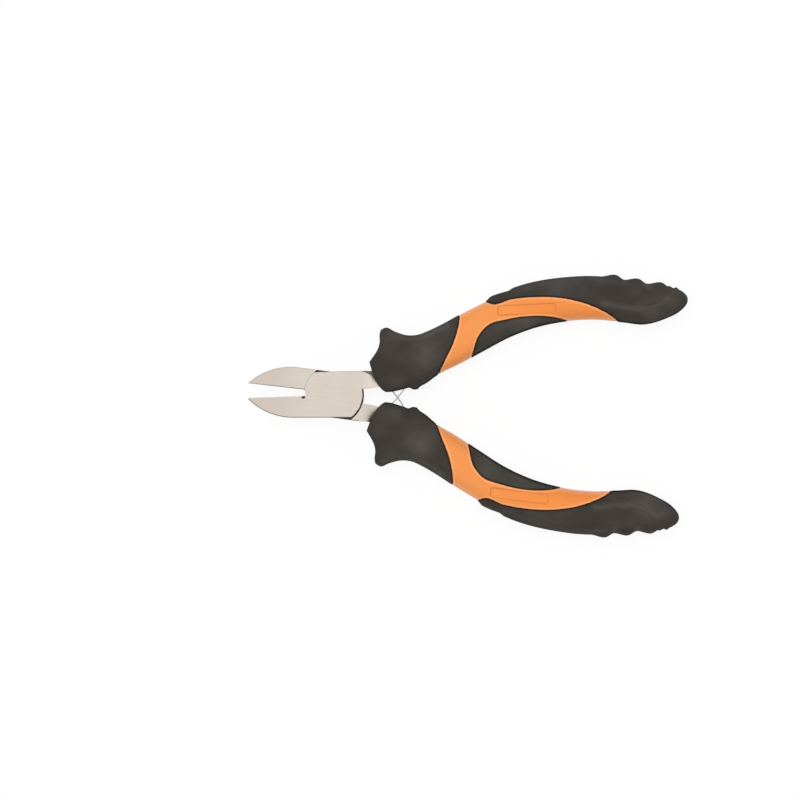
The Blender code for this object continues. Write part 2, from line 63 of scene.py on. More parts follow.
LOG = logging.getLogger("diagonal_cutter")

# Sizes that all pieces share, in millimetres and radians.
MILLIMETRE = 0.001
JOINT_THICKNESS = 7.6
LAP_PLANE = JOINT_THICKNESS / 2
REST_OPENING = math.radians(9.6)

# How far a cutting tool stands out past what it cuts.
MARGIN = 2.0

# Fineness of the meshes.
WELD = 1e-4
ARC_STEP = math.radians(2.5)
RIM_STEPS = 8
RAMP_STEPS = 16
GRIND_STEPS = 12
SEAM_STEPS = 10
FINE_STEPS = 2000
FORM_SIDES = 56
FORM_STEP = 0.5
SLEEVE_SIDES = 32
SLEEVE_STEP = 2.0
POCKET_SIDES = 144
RIVET_SIDES = 64
PIN_SIDES = 32
ROUND_SEGMENTS = 3
RELAX_SHARE = 0.5

# Largest angles between faces that are shaded as one, and the angle from which a corner is rounded.
FLAT_ANGLE = math.radians(10.0)
BEND_ANGLE = math.radians(30.0)
CORNER_ANGLE = math.radians(60.0)

# Rays that feel how open a surface is.
SHELTER_SAMPLES = 8

# Turns of a flat outline into the side view and into the view on the jaw's end.
SIDE_VIEW = Matrix.Rotation(math.radians(90.0), 4, "X")
END_VIEW = Matrix(((0, 0, 1, 0), (1, 0, 0, 0), (0, 1, 0, 0), (0, 0, 0, 1)))

Point = tuple[float, float]
Path = list[Vector]
Colour = tuple[float, float, float]
Waves = tuple[float, float, float]
Span = tuple[float, float]
Stops = tuple[tuple[float, float], ...]


class Side(Enum):
    """The two handles of the cutter."""

    UPPER = "upper"
    LOWER = "lower"

    @property
    def handle(self) -> str:
        """Body that the handle's pieces ride on."""
        return f"{self.value}_handle"

    @property
    def spring(self) -> str:
        """Body that the handle's leaf spring rides on."""
        return f"{self.value}_spring"

    def placing(self) -> Matrix:
        """Map from the closed frame in millimetres to the rest pose in metres.

        Returns:
            The map.
        """
        metres = Matrix.Scale(MILLIMETRE, 4)
        if self is Side.UPPER:
            return metres @ Matrix.Rotation(REST_OPENING / 2, 4, "Z")
        turn_over = Matrix.Translation((0.0, 0.0, JOINT_THICKNESS)) @ Matrix.Rotation(math.pi, 4, "X")
        return metres @ Matrix.Rotation(-REST_OPENING / 2, 4, "Z") @ turn_over


class Moulding(Enum):
    """The mouldings of a grip."""

    CORE = "grip_core"
    GUARD = "front_guard"
    INLAY = "inner_inlay"
    SLEEVE = "rear_sleeve"


def direction_at(before: Vector, here: Vector, after: Vector) -> Vector:
    """Direction per unit length of a smooth curve at a point between two others.

    Args:
        before: Point before it.
        here: The point.
        after: Point after it.

    Returns:
        The direction.
    """
    back = (here - before).length
    ahead = (after - here).length
    if back == 0:
        return (after - here) / ahead
    if ahead == 0:
        return (here - before) / back
    return ((after - here) / ahead * back + (here - before) / back * ahead) / (back + ahead)


def spline_at(points: Sequence[Point], place: float) -> Vector:
    """Point of the smooth curve through the points.

    Args:
        points: Points of the curve.
        place: Place on the curve, where point i lies at place i.

    Returns:
        The point at that place.
    """
    index = min(int(place), len(points) - 2)
    share = place - index
    before = Vector(points[max(index - 1, 0)])
    start = Vector(points[index])
    end = Vector(points[index + 1])
    after = Vector(points[min(index + 2, len(points) - 1)])
    run = (end - start).length
    leave = direction_at(before, start, end) * run
    arrive = direction_at(start, end, after) * run
    square = share * share
    cube = square * share
    return (start * (2 * cube - 3 * square + 1) + leave * (cube - 2 * square + share)
            + end * (3 * square - 2 * cube) + arrive * (cube - square))


def smooth(points: Sequence[Point], steps: int) -> Path:
    """The smooth curve through the points, with the given steps from point to point."""
    return [spline_at(points, i / steps) for i in range((len(points) - 1) * steps + 1)]


def along(path: Path, share: float) -> Vector:
    """Point at a share of the length of a path.

    Args:
        path: The path.
        share: Share of its length, from 0 to 1.

    Returns:
        The point.
    """
    lengths = [(b - a).length for a, b in zip(path, path[1:])]
    rest = share * sum(lengths)
    for start, end, length in zip(path, path[1:], lengths):
        if rest <= length:
            return start.lerp(end, rest / length)
        rest -= length
    return path[-1].copy()


def arc(radius: float, first: float, last: float, centre: Point = (0.0, 0.0)) -> Path:
    """Points of an arc from the first to the last angle.

    Args:
        radius: Radius of the arc.
        first: Angle of its first point.
        last: Angle of its last point.
        centre: Its centre.

    Returns:
        The points.
    """
    steps = max(2, math.ceil(abs(last - first) / ARC_STEP))
    angles = [first + (last - first) * i / steps for i in range(steps + 1)]
    return [Vector((centre[0] + radius * math.cos(a), centre[1] + radius * math.sin(a))) for a in angles]


def offset(path: Path, distances: Sequence[float]) -> Path:
    """The path moved sideways, to its left for a positive distance, one distance for each point.

    Args:
        path: The path.
        distances: Distance for each of its points.

    Returns:
        The moved path.
    """
    moved = []
    for i, point in enumerate(path):
        way = (path[min(i + 1, len(path) - 1)] - path[max(i - 1, 0)]).normalized()
        moved.append(point + Vector((-way.y, way.x)) * distances[i])
    return moved


def strip(path: Path, half_widths: Sequence[float]) -> Path:
    """Closed outline of a strip along a path.

    Args:
        path: Middle line of the strip.
        half_widths: Half its width at each point.

    Returns:
        The outline.
    """
    left = offset(path, half_widths)
    right = offset(path, [-width for width in half_widths])
    return left + right[::-1]


def at_reach(path: Path, reach: float) -> Vector:
    """Point of a path at a distance along X; beyond its ends the path runs straight on.

    Args:
        path: Path that runs towards +X.
        reach: Distance along X.

    Returns:
        The point.
    """
    for start, end in zip(path, path[1:]):
        if reach <= end.x:
            break
    return start + (end - start) * ((reach - start.x) / (end.x - start.x))


def ease(value: float) -> float:
    """Soft step from 0 to 1 for a value that runs from 0 to 1."""
    share = min(max(value, 0.0), 1.0)
    return share * share * (3 - 2 * share)


def soft_step(values: np.ndarray) -> np.ndarray:
    """Soft step from 0 to 1 for each of many values."""
    shares = np.clip(values, 0.0, 1.0)
    return shares * shares * (3 - 2 * shares)


def bell(values: np.ndarray) -> np.ndarray:
    """Soft bump for each of many values: 1 at 0, and next to nothing beyond 2."""
    return np.exp(-values * values)


def both_faces(profile: Sequence[Point]) -> list[Point]:
    """Half profile of a turned piece carried on, mirrored at the lap plane."""
    return [*profile, *((radius, JOINT_THICKNESS - height) for radius, height in reversed(profile))]


class Bench:
    """Bench work on one mesh at a time, in millimetres."""

    @staticmethod
    def take(*items: bpy.types.Object) -> None:
        """Select these objects alone and make the first one active.

        Args:
            items: Objects to select.
        """
        bpy.ops.object.select_all(action="DESELECT")
        for item in items:
            item.select_set(True)
        if items:
            bpy.context.view_layer.objects.active = items[0]

    @staticmethod
    def started(name: str) -> bpy.types.Object:
        """Name the primitive that was just added.

        Args:
            name: Name of the object and its mesh.

        Returns:
            The object.
        """
        item = bpy.context.object
        item.name = name
        item.data.name = name
        return item

    @staticmethod
    def tidy_normals(item: bpy.types.Object) -> None:
        """Merge doubles and turn all faces outwards.

        Args:
            item: Object to work on.
        """
        Bench.take(item)
        bpy.ops.object.mode_set(mode="EDIT")
        bpy.ops.mesh.select_all(action="SELECT")
        bpy.ops.mesh.remove_doubles(threshold=WELD)
        bpy.ops.mesh.normals_make_consistent(inside=False)
        bpy.ops.object.mode_set(mode="OBJECT")

    @staticmethod
    def plate(name: str, outline: Sequence[Sequence[float]], low: float, high: float,
              turn: Matrix | None = None) -> bpy.types.Object:
        """Plate of a closed outline.

        Args:
            name: Name of the object.
            outline: Corners of the outline, in order.
            low: Height of the lower face.
            high: Height of the upper face.
            turn: Turn into another plane, if the plate doesn't lie flat.

        Returns:
            The plate.
        """
        Bench.take()
        bpy.ops.mesh.primitive_circle_add(vertices=len(outline), fill_type="NGON")
        item = Bench.started(name)
        for vertex, corner in zip(item.data.vertices, outline):
            vertex.co = (corner[0], corner[1], low)
        bpy.ops.object.mode_set(mode="EDIT")
        bpy.ops.mesh.select_all(action="SELECT")
        bpy.ops.mesh.extrude_region_move(TRANSFORM_OT_translate={"value": (0.0, 0.0, high - low)})
        bpy.ops.object.mode_set(mode="OBJECT")
        if turn is not None:
            item.data.transform(turn)
        Bench.tidy_normals(item)
        return item

    @staticmethod
    def tube(name: str, rings: Sequence[Sequence[Vector]]) -> bpy.types.Object:
        """Tube through rings of points: a flat grid is rolled up, and its seam and flat ends are welded.

        Args:
            name: Name of the object.
            rings: Rings of equal count; the first and the last lie flat, so that they close the tube.

        Returns:
            The closed tube.
        """
        sides = len(rings[0])
        Bench.take()
        bpy.ops.mesh.primitive_grid_add(x_subdivisions=sides, y_subdivisions=len(rings) - 1)
        item = Bench.started(name)
        points = [ring[k % sides] for ring in rings for k in range(sides + 1)]
        item.data.vertices.foreach_set("co", [value for point in points for value in point])
        Bench.tidy_normals(item)
        return item

    @staticmethod
    def bar(name: str, radius: float, low: float, high: float, place: Point, sides: int) -> bpy.types.Object:
        """Upright round bar at a place.

        Args:
            name: Name of the object.
            radius: Radius of the bar.
            low: Height of its lower end.
            high: Height of its upper end.
            place: Its place in plan.
            sides: Facets around it.

        Returns:
            The bar.
        """
        Bench.take()
        bpy.ops.mesh.primitive_cylinder_add(vertices=sides, radius=radius, depth=high - low,
                                            location=(place[0], place[1], (low + high) / 2))
        item = Bench.started(name)
        bpy.ops.object.transform_apply(location=True, rotation=True, scale=True)
        return item

    @staticmethod
    def turned(name: str, profile: Sequence[Point], sides: int) -> bpy.types.Object:
        """Turned piece: a plane is cut to a half profile and spun about the pivot axis.

        Args:
            name: Name of the object.
            profile: Radius and height of each corner, from axis to axis.
            sides: Steps of one turn.

        Returns:
            The turned piece.
        """
        Bench.take()
        bpy.ops.mesh.primitive_circle_add(vertices=len(profile), fill_type="NOTHING")
        item = Bench.started(name)
        for vertex, (radius, height) in zip(item.data.vertices, profile):
            vertex.co = (radius, 0.0, height)
        bpy.ops.object.mode_set(mode="EDIT")
        bpy.ops.mesh.select_all(action="SELECT")
        bpy.ops.mesh.spin(steps=sides, angle=2 * math.pi, center=(0.0, 0.0, 0.0), axis=(0.0, 0.0, 1.0))
        bpy.ops.object.mode_set(mode="OBJECT")
        Bench.tidy_normals(item)
        Bench.drop_loose(item)
        return item

    @staticmethod
    def drop_loose(item: bpy.types.Object) -> None:
        """Delete edges and corners that carry no face, and faces shut inside a solid.

        Args:
            item: Object to work on.
        """
        Bench.take(item)
        bpy.ops.object.mode_set(mode="EDIT")
        bpy.ops.mesh.select_all(action="DESELECT")
        bpy.ops.mesh.select_interior_faces()
        bpy.ops.mesh.delete(type="FACE")
        bpy.ops.mesh.select_all(action="SELECT")
        bpy.ops.mesh.delete_loose()
        bpy.ops.object.mode_set(mode="OBJECT")

    @staticmethod
    def apply(item: bpy.types.Object, kind: str, **settings: object) -> None:
        """Add a modifier, set it and apply it.

        Args:
            item: Object to work on.
            kind: Type of the modifier.
            settings: Settings of the modifier by name.
        """
        modifier = item.modifiers.new(kind.lower(), kind)
        for key, value in settings.items():
            setattr(modifier, key, value)
        Bench.take(item)
        bpy.ops.object.modifier_apply(modifier=modifier.name)

    @staticmethod
    def combine(item: bpy.types.Object, operation: str, *tools: bpy.types.Object, keep: bool = False) -> None:
        """Apply exact Booleans.

        Args:
            item: Object to work on.
            operation: DIFFERENCE, UNION or INTERSECT.
            tools: Objects to work with, one after the other.
            keep: Whether the tools are kept for another use.
        """
        for tool in tools:
            Bench.apply(item, "BOOLEAN", operation=operation, solver="EXACT", object=tool)
            if not keep:
                Bench.discard(tool)

    @staticmethod
    def discard(item: bpy.types.Object) -> None:
        """Throw away an object and its mesh.

        Args:
            item: Object to throw away.
        """
        mesh = item.data
        bpy.data.objects.remove(item)
        bpy.data.meshes.remove(mesh)

    @staticmethod
    def copy(item: bpy.types.Object, name: str) -> bpy.types.Object:
        """Copy of an object with a mesh of its own.

        Args:
            item: Object to copy.
            name: Name of the copy and its mesh.

        Returns:
            The copy.
        """
        twin = item.copy()
        twin.data = item.data.copy()
        twin.name = name
        twin.data.name = name
        bpy.context.collection.objects.link(twin)
        return twin

    @staticmethod
    def ease_edges(item: bpy.types.Object, chosen: Callable[[Vector, Vector], bool], width: float,
                   segments: int) -> None:
        """Round off or chamfer some edges of a mesh.

        Args:
            item: Object to work on.
            chosen: Whether the edge between two places is eased.
            width: Width of the round or chamfer.
            segments: Facets across it.
        """
        mesh = item.data
        weights = mesh.attributes.new("bevel_weight_edge", "FLOAT", "EDGE")
        for edge in mesh.edges:
            first, last = (mesh.vertices[i].co for i in edge.vertices)
            weights.data[edge.index].value = float(chosen(first, last))
        Bench.apply(item, "BEVEL", width=width, segments=segments, limit_method="WEIGHT")
        mesh.attributes.remove(mesh.attributes["bevel_weight_edge"])

    @staticmethod
    def round_corners(item: bpy.types.Object, width: float, segments: int) -> None:
        """Round off all sharp edges of a mesh."""
        Bench.apply(item, "BEVEL", width=width, segments=segments, limit_method="ANGLE",
                    angle_limit=CORNER_ANGLE)

    @staticmethod
    def corners(item: bpy.types.Object, what: str = "co") -> np.ndarray:
        """Places of all corners of a mesh, or their normals.

        Args:
            item: Object to read.
            what: co for places or normal for normals.

        Returns:
            One row for each corner.
        """
        values = np.empty(len(item.data.vertices) * 3, dtype=np.float32)
        item.data.vertices.foreach_get(what, values)
        return values.reshape(-1, 3)

    @staticmethod
    def move_corners(item: bpy.types.Object, shift: Callable[[np.ndarray], np.ndarray]) -> None:
        """Move all corners of a mesh by what a function of their places gives.

        Args:
            item: Object to work on.
            shift: Gives each corner's shift from all the places.
        """
        places = Bench.corners(item)
        item.data.vertices.foreach_set("co", (places + shift(places)).ravel())
        item.data.update()

    @staticmethod
    def soften(item: bpy.types.Object, voxel: float, rounds: int) -> None:
        """Give a moulded piece its rounded edges: an even skin, relaxed a few rounds.

        Args:
            item: Piece to work on.
            voxel: Mesh width of the skin.
            rounds: Rounds of relaxing.
        """
        Bench.apply(item, "REMESH", mode="VOXEL", voxel_size=voxel, use_smooth_shade=True)
        Bench.apply(item, "SMOOTH", factor=RELAX_SHARE, iterations=rounds)
        Bench.take(item)
        bpy.ops.object.shade_smooth()


class Wire:
    """Output of a shader node, with arithmetic that adds Math nodes."""

    def __init__(self, sheet: "Sheet", socket: bpy.types.NodeSocket) -> None:
        """Keep the socket and the node sheet it belongs to."""
        self.sheet = sheet
        self.socket = socket

    def maths(self, operation: str, first: "Wire | float", second: "Wire | float") -> "Wire":
        """Add one Math node and return its value."""
        node = self.sheet.add("ShaderNodeMath", {"operation": operation}, {0: first, 1: second})
        return Wire(self.sheet, node.outputs[0])

    def __add__(self, other: "Wire | float") -> "Wire":
        """This plus another."""
        return self.maths("ADD", self, other)

    def __radd__(self, other: float) -> "Wire":
        """A number plus this."""
        return self.maths("ADD", other, self)

    def __sub__(self, other: "Wire | float") -> "Wire":
        """This minus another."""
        return self.maths("SUBTRACT", self, other)

    def __rsub__(self, other: float) -> "Wire":
        """A number minus this."""
        return self.maths("SUBTRACT", other, self)

    def __mul__(self, other: "Wire | float") -> "Wire":
        """This times another."""
        return self.maths("MULTIPLY", self, other)

    def __rmul__(self, other: float) -> "Wire":
        """A number times this."""
        return self.maths("MULTIPLY", other, self)


class Sheet:
    """Sheet of shader nodes: of a material or of the world."""

    def __init__(self, owner: bpy.types.Material | bpy.types.World) -> None:
        """Turn the owner's nodes on and keep their tree."""
        owner.use_nodes = True
        self.tree = owner.node_tree

    @staticmethod
    def find(sockets: Iterable[bpy.types.NodeSocket], key: str | int) -> bpy.types.NodeSocket:
        """Socket by its identifier, its name or its number.

        Args:
            sockets: Sockets to look in.
            key: Identifier, name or number.

        Returns:
            The socket.
        """
        if isinstance(key, str):
            for socket in sockets:
                if socket.identifier == key:
                    return socket
        return sockets[key]

    def add(self, kind: str, settings: dict | None = None, inputs: dict | None = None) -> bpy.types.Node:
        """Add a node.

        Args:
            kind: Type of the node.
            settings: Properties of the node by name, or the stops of a ramp.
            inputs: Values or wires for its sockets.

        Returns:
            The node.
        """
        node = self.tree.nodes.new(kind)
        for key, value in (settings or {}).items():
            if key == "stops":
                self.set_stops(node.color_ramp, value)
            else:
                setattr(node, key, value)
        self.feed(node, inputs or {})
        return node

    def feed(self, node: bpy.types.Node, inputs: dict) -> None:
        """Set sockets of a node to values or link them to wires.

        Args:
            node: The node.
            inputs: Values or wires for its sockets.
        """
        for key, value in inputs.items():
            socket = self.find(node.inputs, key)
            if isinstance(value, Wire):
                self.tree.links.new(value.socket, socket)
            else:
                socket.default_value = value

    @staticmethod
    def set_stops(ramp: bpy.types.ColorRamp, stops: Stops) -> None:
        """Give a ramp its grey stops.

        Args:
            ramp: The ramp.
            stops: Place and grey value of each stop.
        """
        while len(ramp.elements) < len(stops):
            ramp.elements.new(1.0)
        for element, (place, value) in zip(ramp.elements, stops):
            element.position = place
            element.color = (value, value, value, 1.0)

    def wire(self, node: bpy.types.Node, output: str | int = 0) -> Wire:
        """One output of a node."""
        return Wire(self, self.find(node.outputs, output))

    def ramp(self, value: Wire, stops: Stops) -> Wire:
        """Value run through a ramp of grey stops."""
        return self.wire(self.add("ShaderNodeValToRGB", {"stops": stops}, {0: value}))

    def shows_background(self) -> Wire:
        """1 for a ray that shows the background: from the camera, by gloss or through glass.

        Returns:
            1 or 0.
        """
        rays = self.add("ShaderNodeLightPath")
        kinds = ("Camera", "Glossy", "Transmission")
        camera, gloss, glass = (self.wire(rays, f"Is {kind} Ray") for kind in kinds)
        return 1 - (1 - camera) * (1 - gloss) * (1 - glass)


class Paint(Sheet):
    """Node material of one finish."""

    def __init__(self, slot: str) -> None:
        """Start an empty Principled material for a slot of the record.

        Args:
            slot: Name of the slot.
        """
        self.slot = slot
        self.material = bpy.data.materials.new(f"{slot}_look")
        super().__init__(self.material)
        self.shader = self.tree.nodes["Principled BSDF"]
        self.coordinates = self.wire(self.add("ShaderNodeTexCoord"), "Object")

    def noise(self, waves: Waves, detail: float = 2.0) -> Wire:
        """Noise on the piece's own coordinates.

        Args:
            waves: Waves per metre along each axis.
            detail: Octaves of the noise.

        Returns:
            The noise, about 0.5.
        """
        mapping = self.add("ShaderNodeMapping", {"vector_type": "TEXTURE"},
                           {"Vector": self.coordinates, "Scale": tuple(1 / value for value in waves)})
        return self.wire(self.add("ShaderNodeTexNoise", None,
                                  {"Vector": self.wire(mapping), "Scale": 1.0, "Detail": detail}))

    def share(self, axis: str, first: float, last: float) -> Wire:
        """Share of the way from the first to the last place along an axis, in metres.

        Args:
            axis: X, Y or Z.
            first: Place at which the share is 0.
            last: Place at which it is 1.

        Returns:
            The share, with soft ends.
        """
        parts = self.add("ShaderNodeSeparateXYZ", None, {0: self.coordinates})
        return self.wire(self.add("ShaderNodeMapRange", {"interpolation_type": "SMOOTHSTEP"},
                                  {"Value": self.wire(parts, axis), "From Min": first, "From Max": last}))

    def attribute(self, name: str) -> Wire:
        """Attribute that the piece carries."""
        return self.wire(self.add("ShaderNodeAttribute", {"attribute_name": name}), "Fac")

    def shelter(self, distance: float) -> Wire:
        """How open the surface is: 1 out in the open, 0 deep in a gap."""
        node = self.add("ShaderNodeAmbientOcclusion", {"samples": SHELTER_SAMPLES}, {"Distance": distance})
        return self.wire(node, "AO")

    def mix(self, share: Wire, first: Colour | Wire, second: Colour | Wire) -> Wire:
        """Mix of two colours by a share.

        Args:
            share: Share of the second colour.
            first: One colour.
            second: The other.

        Returns:
            The mixed colour.
        """
        colours = [(*c, 1.0) if isinstance(c, tuple) else c for c in (first, second)]
        node = self.add("ShaderNodeMix", {"data_type": "RGBA"},
                        {"Factor_Float": share, "A_Color": colours[0], "B_Color": colours[1]})
        return self.wire(node, "Result_Color")

    def bump(self, height: Wire, strength: float, distance: float) -> Wire:
        """Normal bumped by a height."""
        return self.wire(self.add("ShaderNodeBump", None,
                                  {"Height": height, "Strength": strength, "Distance": distance}))

    def finish(self, **inputs: object) -> "Finish":
        """Feed the shader, with underscores for the spaces in its socket names."""
        self.feed(self.shader, {key.replace("_", " "): value for key, value in inputs.items()})
        return Finish(self.slot, self.material)


@dataclass(frozen=True)
class Finish:
    """Painted material and the record's slot that it belongs to."""

    slot: str
    material: bpy.types.Material


@dataclass(frozen=True)
class SatinSteel:
    """Satin tool steel, brushed along the tool, with polished ground bevels painted near white as a painted
    reflection, painted shade on its sides, rounds, sunk floors, gaps and jaws and by the lower tang, and a
    painted highlight on the upper tang.

    Spans and reaches are in metres, and waves are counted per metre.
    """

    slot: str = "satin_steel"
    colour: Colour = (0.745, 0.685, 0.60)
    warm: Colour = (0.73, 0.635, 0.555)
    # Colour of the painted shade on the jaws, and of the brush streaks.
    jaw: Colour = (0.66, 0.575, 0.505)
    # Near white: a painted reflection on the polished ground bevels.
    ground: Colour = (0.96, 0.95, 0.93)
    # Colour of the painted shade on sides, floors, lines, rounds and gaps.
    forged: Colour = (0.085, 0.072, 0.062)
    # Colour of the painted highlight on the upper tang.
    tang_highlight: Colour = (0.868, 0.778, 0.665)
    # Colour of the painted shade on the lower tang by the grip.
    tang_shade: Colour = (0.25, 0.24, 0.20)
    brush_waves: Waves = (60.0, 5200.0, 5200.0)
    brush_detail: float = 3.0
    brush_stops: Stops = ((0.34, 0.4), (0.6, 0.0))
    cloud_waves: Waves = (90.0, 140.0, 140.0)
    cloud_stops: Stops = ((0.35, 0.0), (0.65, 1.0))
    shade_reach: float = 0.0006
    shade_stops: Stops = ((0.1, 1.0), (0.5, 0.0))
    jaw_shade_along: Span = (-0.007, -0.019)
    jaw_share: float = 0.8
    tang_highlight_along: Span = (0.0075, 0.0105)
    tang_highlight_across: Span = (0.001, 0.004)
    tang_shade_along: Span = (0.0085, 0.0125)
    tang_shade_across: Span = (-0.002, -0.0068)
    tang_shade_share: float = 0.85
    roughness: float = 0.30
    brush_roughness: float = 0.12
    ground_polish: float = 0.12
    shade_roughness: float = 0.2
    brush_bump: float = 0.12
    brush_height: float = 0.00002

    def paint(self) -> Finish:
        """Make the material.

        Returns:
            The finish.
        """
        paint = Paint(self.slot)
        brushing = paint.noise(self.brush_waves, self.brush_detail)
        clouds = paint.noise(self.cloud_waves)
        ground = paint.attribute("ground")
        # Painted shade in gaps and hollows, darker the less open the surface is.
        gap = paint.ramp(paint.shelter(self.shade_reach), self.shade_stops)
        # Painted shade: the marked faces, together with the painted shade in gaps.
        dark = 1 - (1 - paint.attribute("forged")) * (1 - gap)
        colour = paint.mix(paint.ramp(clouds, self.cloud_stops), self.colour, self.warm)
        # Painted shade: the jaws darker towards their tips.
        colour = paint.mix(self.jaw_share * paint.share("X", *self.jaw_shade_along), colour, self.jaw)
        colour = paint.mix(paint.ramp(brushing, self.brush_stops), colour, self.jaw)
        # Painted highlight on the upper tang, by place.
        tang_highlight = paint.share("X", *self.tang_highlight_along) * paint.share("Y", *self.tang_highlight_across)
        colour = paint.mix(tang_highlight, colour, self.tang_highlight)
        # Painted shade on the lower tang next to the grip, by place.
        tang_shade = paint.share("X", *self.tang_shade_along) * paint.share("Y", *self.tang_shade_across)
        colour = paint.mix(self.tang_shade_share * tang_shade, colour, self.tang_shade)
        # Painted reflection: the polished ground bevels painted near white.
        colour = paint.mix(ground, colour, self.ground)
        colour = paint.mix(dark, colour, self.forged)
        return paint.finish(
            Base_Color=colour,
            Metallic=1.0,
            Roughness=(self.roughness + self.brush_roughness * brushing - self.ground_polish * ground
                       + self.shade_roughness * dark),
            Normal=paint.bump(brushing, self.brush_bump, self.brush_height),
        )


@dataclass(frozen=True)
class SpringSteel:
    """Tempered spring strip, drawn along its length."""

    slot: str = "spring_steel"
    colour: Colour = (0.40, 0.39, 0.39)
    blued: Colour = (0.30, 0.30, 0.33)
    draw_waves: Waves = (900.0, 900.0, 9000.0)
    tint_waves: Waves = (300.0, 300.0, 300.0)
    roughness: float = 0.26
    draw_roughness: float = 0.12
    draw_bump: float = 0.1
    draw_height: float = 0.00001

    def paint(self) -> Finish:
        """Make the material.

        Returns:
            The finish.
        """
        paint = Paint(self.slot)
        drawing = paint.noise(self.draw_waves)
        tint = paint.noise(self.tint_waves)
        return paint.finish(
            Base_Color=paint.mix(tint, self.colour, self.blued),
            Metallic=1.0,
            Roughness=self.roughness + self.draw_roughness * drawing,
            Normal=paint.bump(drawing, self.draw_bump, self.draw_height),
        )


@dataclass(frozen=True)
class SoftBlack:
    """Soft black moulding with a fine eroded grain and random pale mottle, a painted sheen in listed places,
    and painted shade on its edges and in gaps.
    """

    slot: str = "black_soft_grip"
    colour: Colour = (0.0425, 0.0365, 0.0312)
    # Colour of the painted sheen and of the random pale mottle.
    rubbed: Colour = (0.088, 0.0785, 0.068)
    # Colour of the painted shade on edges, beside seams and in gaps.
    edge: Colour = (0.007, 0.006, 0.005)
    grain_waves: Waves = (4200.0, 4200.0, 4200.0)
    cloud_waves: Waves = (130.0, 190.0, 190.0)
    detail: float = 3.0
    cloud_stops: Stops = ((0.42, 0.0), (0.72, 1.0))
    cloud_share: float = 0.3
    sheen_base: float = 0.5
    shade_reach: float = 0.0008
    shade_stops: Stops = ((0.3, 1.0), (0.75, 0.0))
    rim_share: float = 0.9
    roughness: float = 0.56
    grain_roughness: float = 0.14
    cloud_polish: float = 0.06
    rim_roughness: float = 0.3
    specular: float = 0.06
    grain_bump: float = 0.18
    grain_height: float = 0.00006

    def paint(self) -> Finish:
        """Make the material.

        Returns:
            The finish.
        """
        paint = Paint(self.slot)
        grain = paint.noise(self.grain_waves, self.detail)
        clouds = paint.noise(self.cloud_waves, self.detail)
        # Painted sheen where the marks lie, mottled by the clouds, plus random pale mottle.
        rubbed = paint.attribute("rubbed") * (self.sheen_base + clouds)
        rubbed = rubbed + self.cloud_share * paint.ramp(clouds, self.cloud_stops)
        colour = paint.mix(rubbed, self.colour, self.rubbed)
        # Painted shade in gaps and hollows, darker the less open the surface is.
        gap = paint.ramp(paint.shelter(self.shade_reach), self.shade_stops)
        # Painted shade on steep sides, most on the inner side, and beside the seams.
        rim = paint.attribute("rim")
        dark = 1 - (1 - self.rim_share * rim) * (1 - gap)
        return paint.finish(
            Base_Color=paint.mix(dark, colour, self.edge),
            Roughness=(self.roughness + self.grain_roughness * grain - self.cloud_polish * clouds
                       + self.rim_roughness * rim),
            Specular_IOR_Level=self.specular,
            Normal=paint.bump(grain, self.grain_bump, self.grain_height),
        )


@dataclass(frozen=True)
class HardOrange:
    """Hard orange moulding with a fine grain and random pale mottle, a painted highlight on its rounded edges
    and towards the neck, painted shade at its seams, and a darker line along its panel's border.
    """

    slot: str = "orange_hard_grip"
    colour: Colour = (0.845, 0.248, 0.041)
    # Colour of the painted highlight towards the neck and of the random pale mottle.
    mottle_and_highlight: Colour = (0.835, 0.29, 0.072)
    # Colour of the painted highlight on the rounded edges and beside the seams.
    edge: Colour = (0.94, 0.44, 0.19)
    # Colour of the darker line along the pressed panel's border.
    pressed: Colour = (0.59, 0.145, 0.021)
    # Colour of the painted shade at the seams and in gaps.
    seam: Colour = (0.42, 0.10, 0.02)
    grain_waves: Waves = (3400.0, 3400.0, 3400.0)
    grain_detail: float = 3.0
    cloud_waves: Waves = (55.0, 110.0, 110.0)
    cloud_stops: Stops = ((0.36, 0.0), (0.66, 1.0))
    cloud_share: float = 0.4
    neck_highlight_along: Span = (0.058, 0.040)
    neck_highlight_share: float = 0.6
    panel_line_share: float = 0.95
    rim_share: float = 0.8
    shade_reach: float = 0.0005
    shade_stops: Stops = ((0.3, 0.8), (0.7, 0.0))
    roughness: float = 0.40
    grain_roughness: float = 0.1
    grain_bump: float = 0.1
    grain_height: float = 0.00004

    def paint(self) -> Finish:
        """Make the material.

        Returns:
            The finish.
        """
        paint = Paint(self.slot)
        grain = paint.noise(self.grain_waves, self.grain_detail)
        clouds = paint.noise(self.cloud_waves)
        mottle_and_highlight = self.cloud_share * paint.ramp(clouds, self.cloud_stops)
        # Painted highlight towards the neck, by place.
        mottle_and_highlight = mottle_and_highlight + self.neck_highlight_share * paint.share("X", *self.neck_highlight_along)
        colour = paint.mix(mottle_and_highlight, self.colour, self.mottle_and_highlight)
        # Darker line along the pressed panel's border.
        colour = paint.mix(self.panel_line_share * paint.attribute("pressed"), colour, self.pressed)
        # Painted highlight on the rounded edges and in a line beside the seams.
        colour = paint.mix(self.rim_share * paint.attribute("rim"), colour, self.edge)
        # Painted shade at the seams and in gaps.
        gap = paint.ramp(paint.shelter(self.shade_reach), self.shade_stops)
        colour = paint.mix(gap, colour, self.seam)
        return paint.finish(
            Base_Color=colour,
            Roughness=self.roughness + self.grain_roughness * grain,
            Normal=paint.bump(grain, self.grain_bump, self.grain_height),
        )


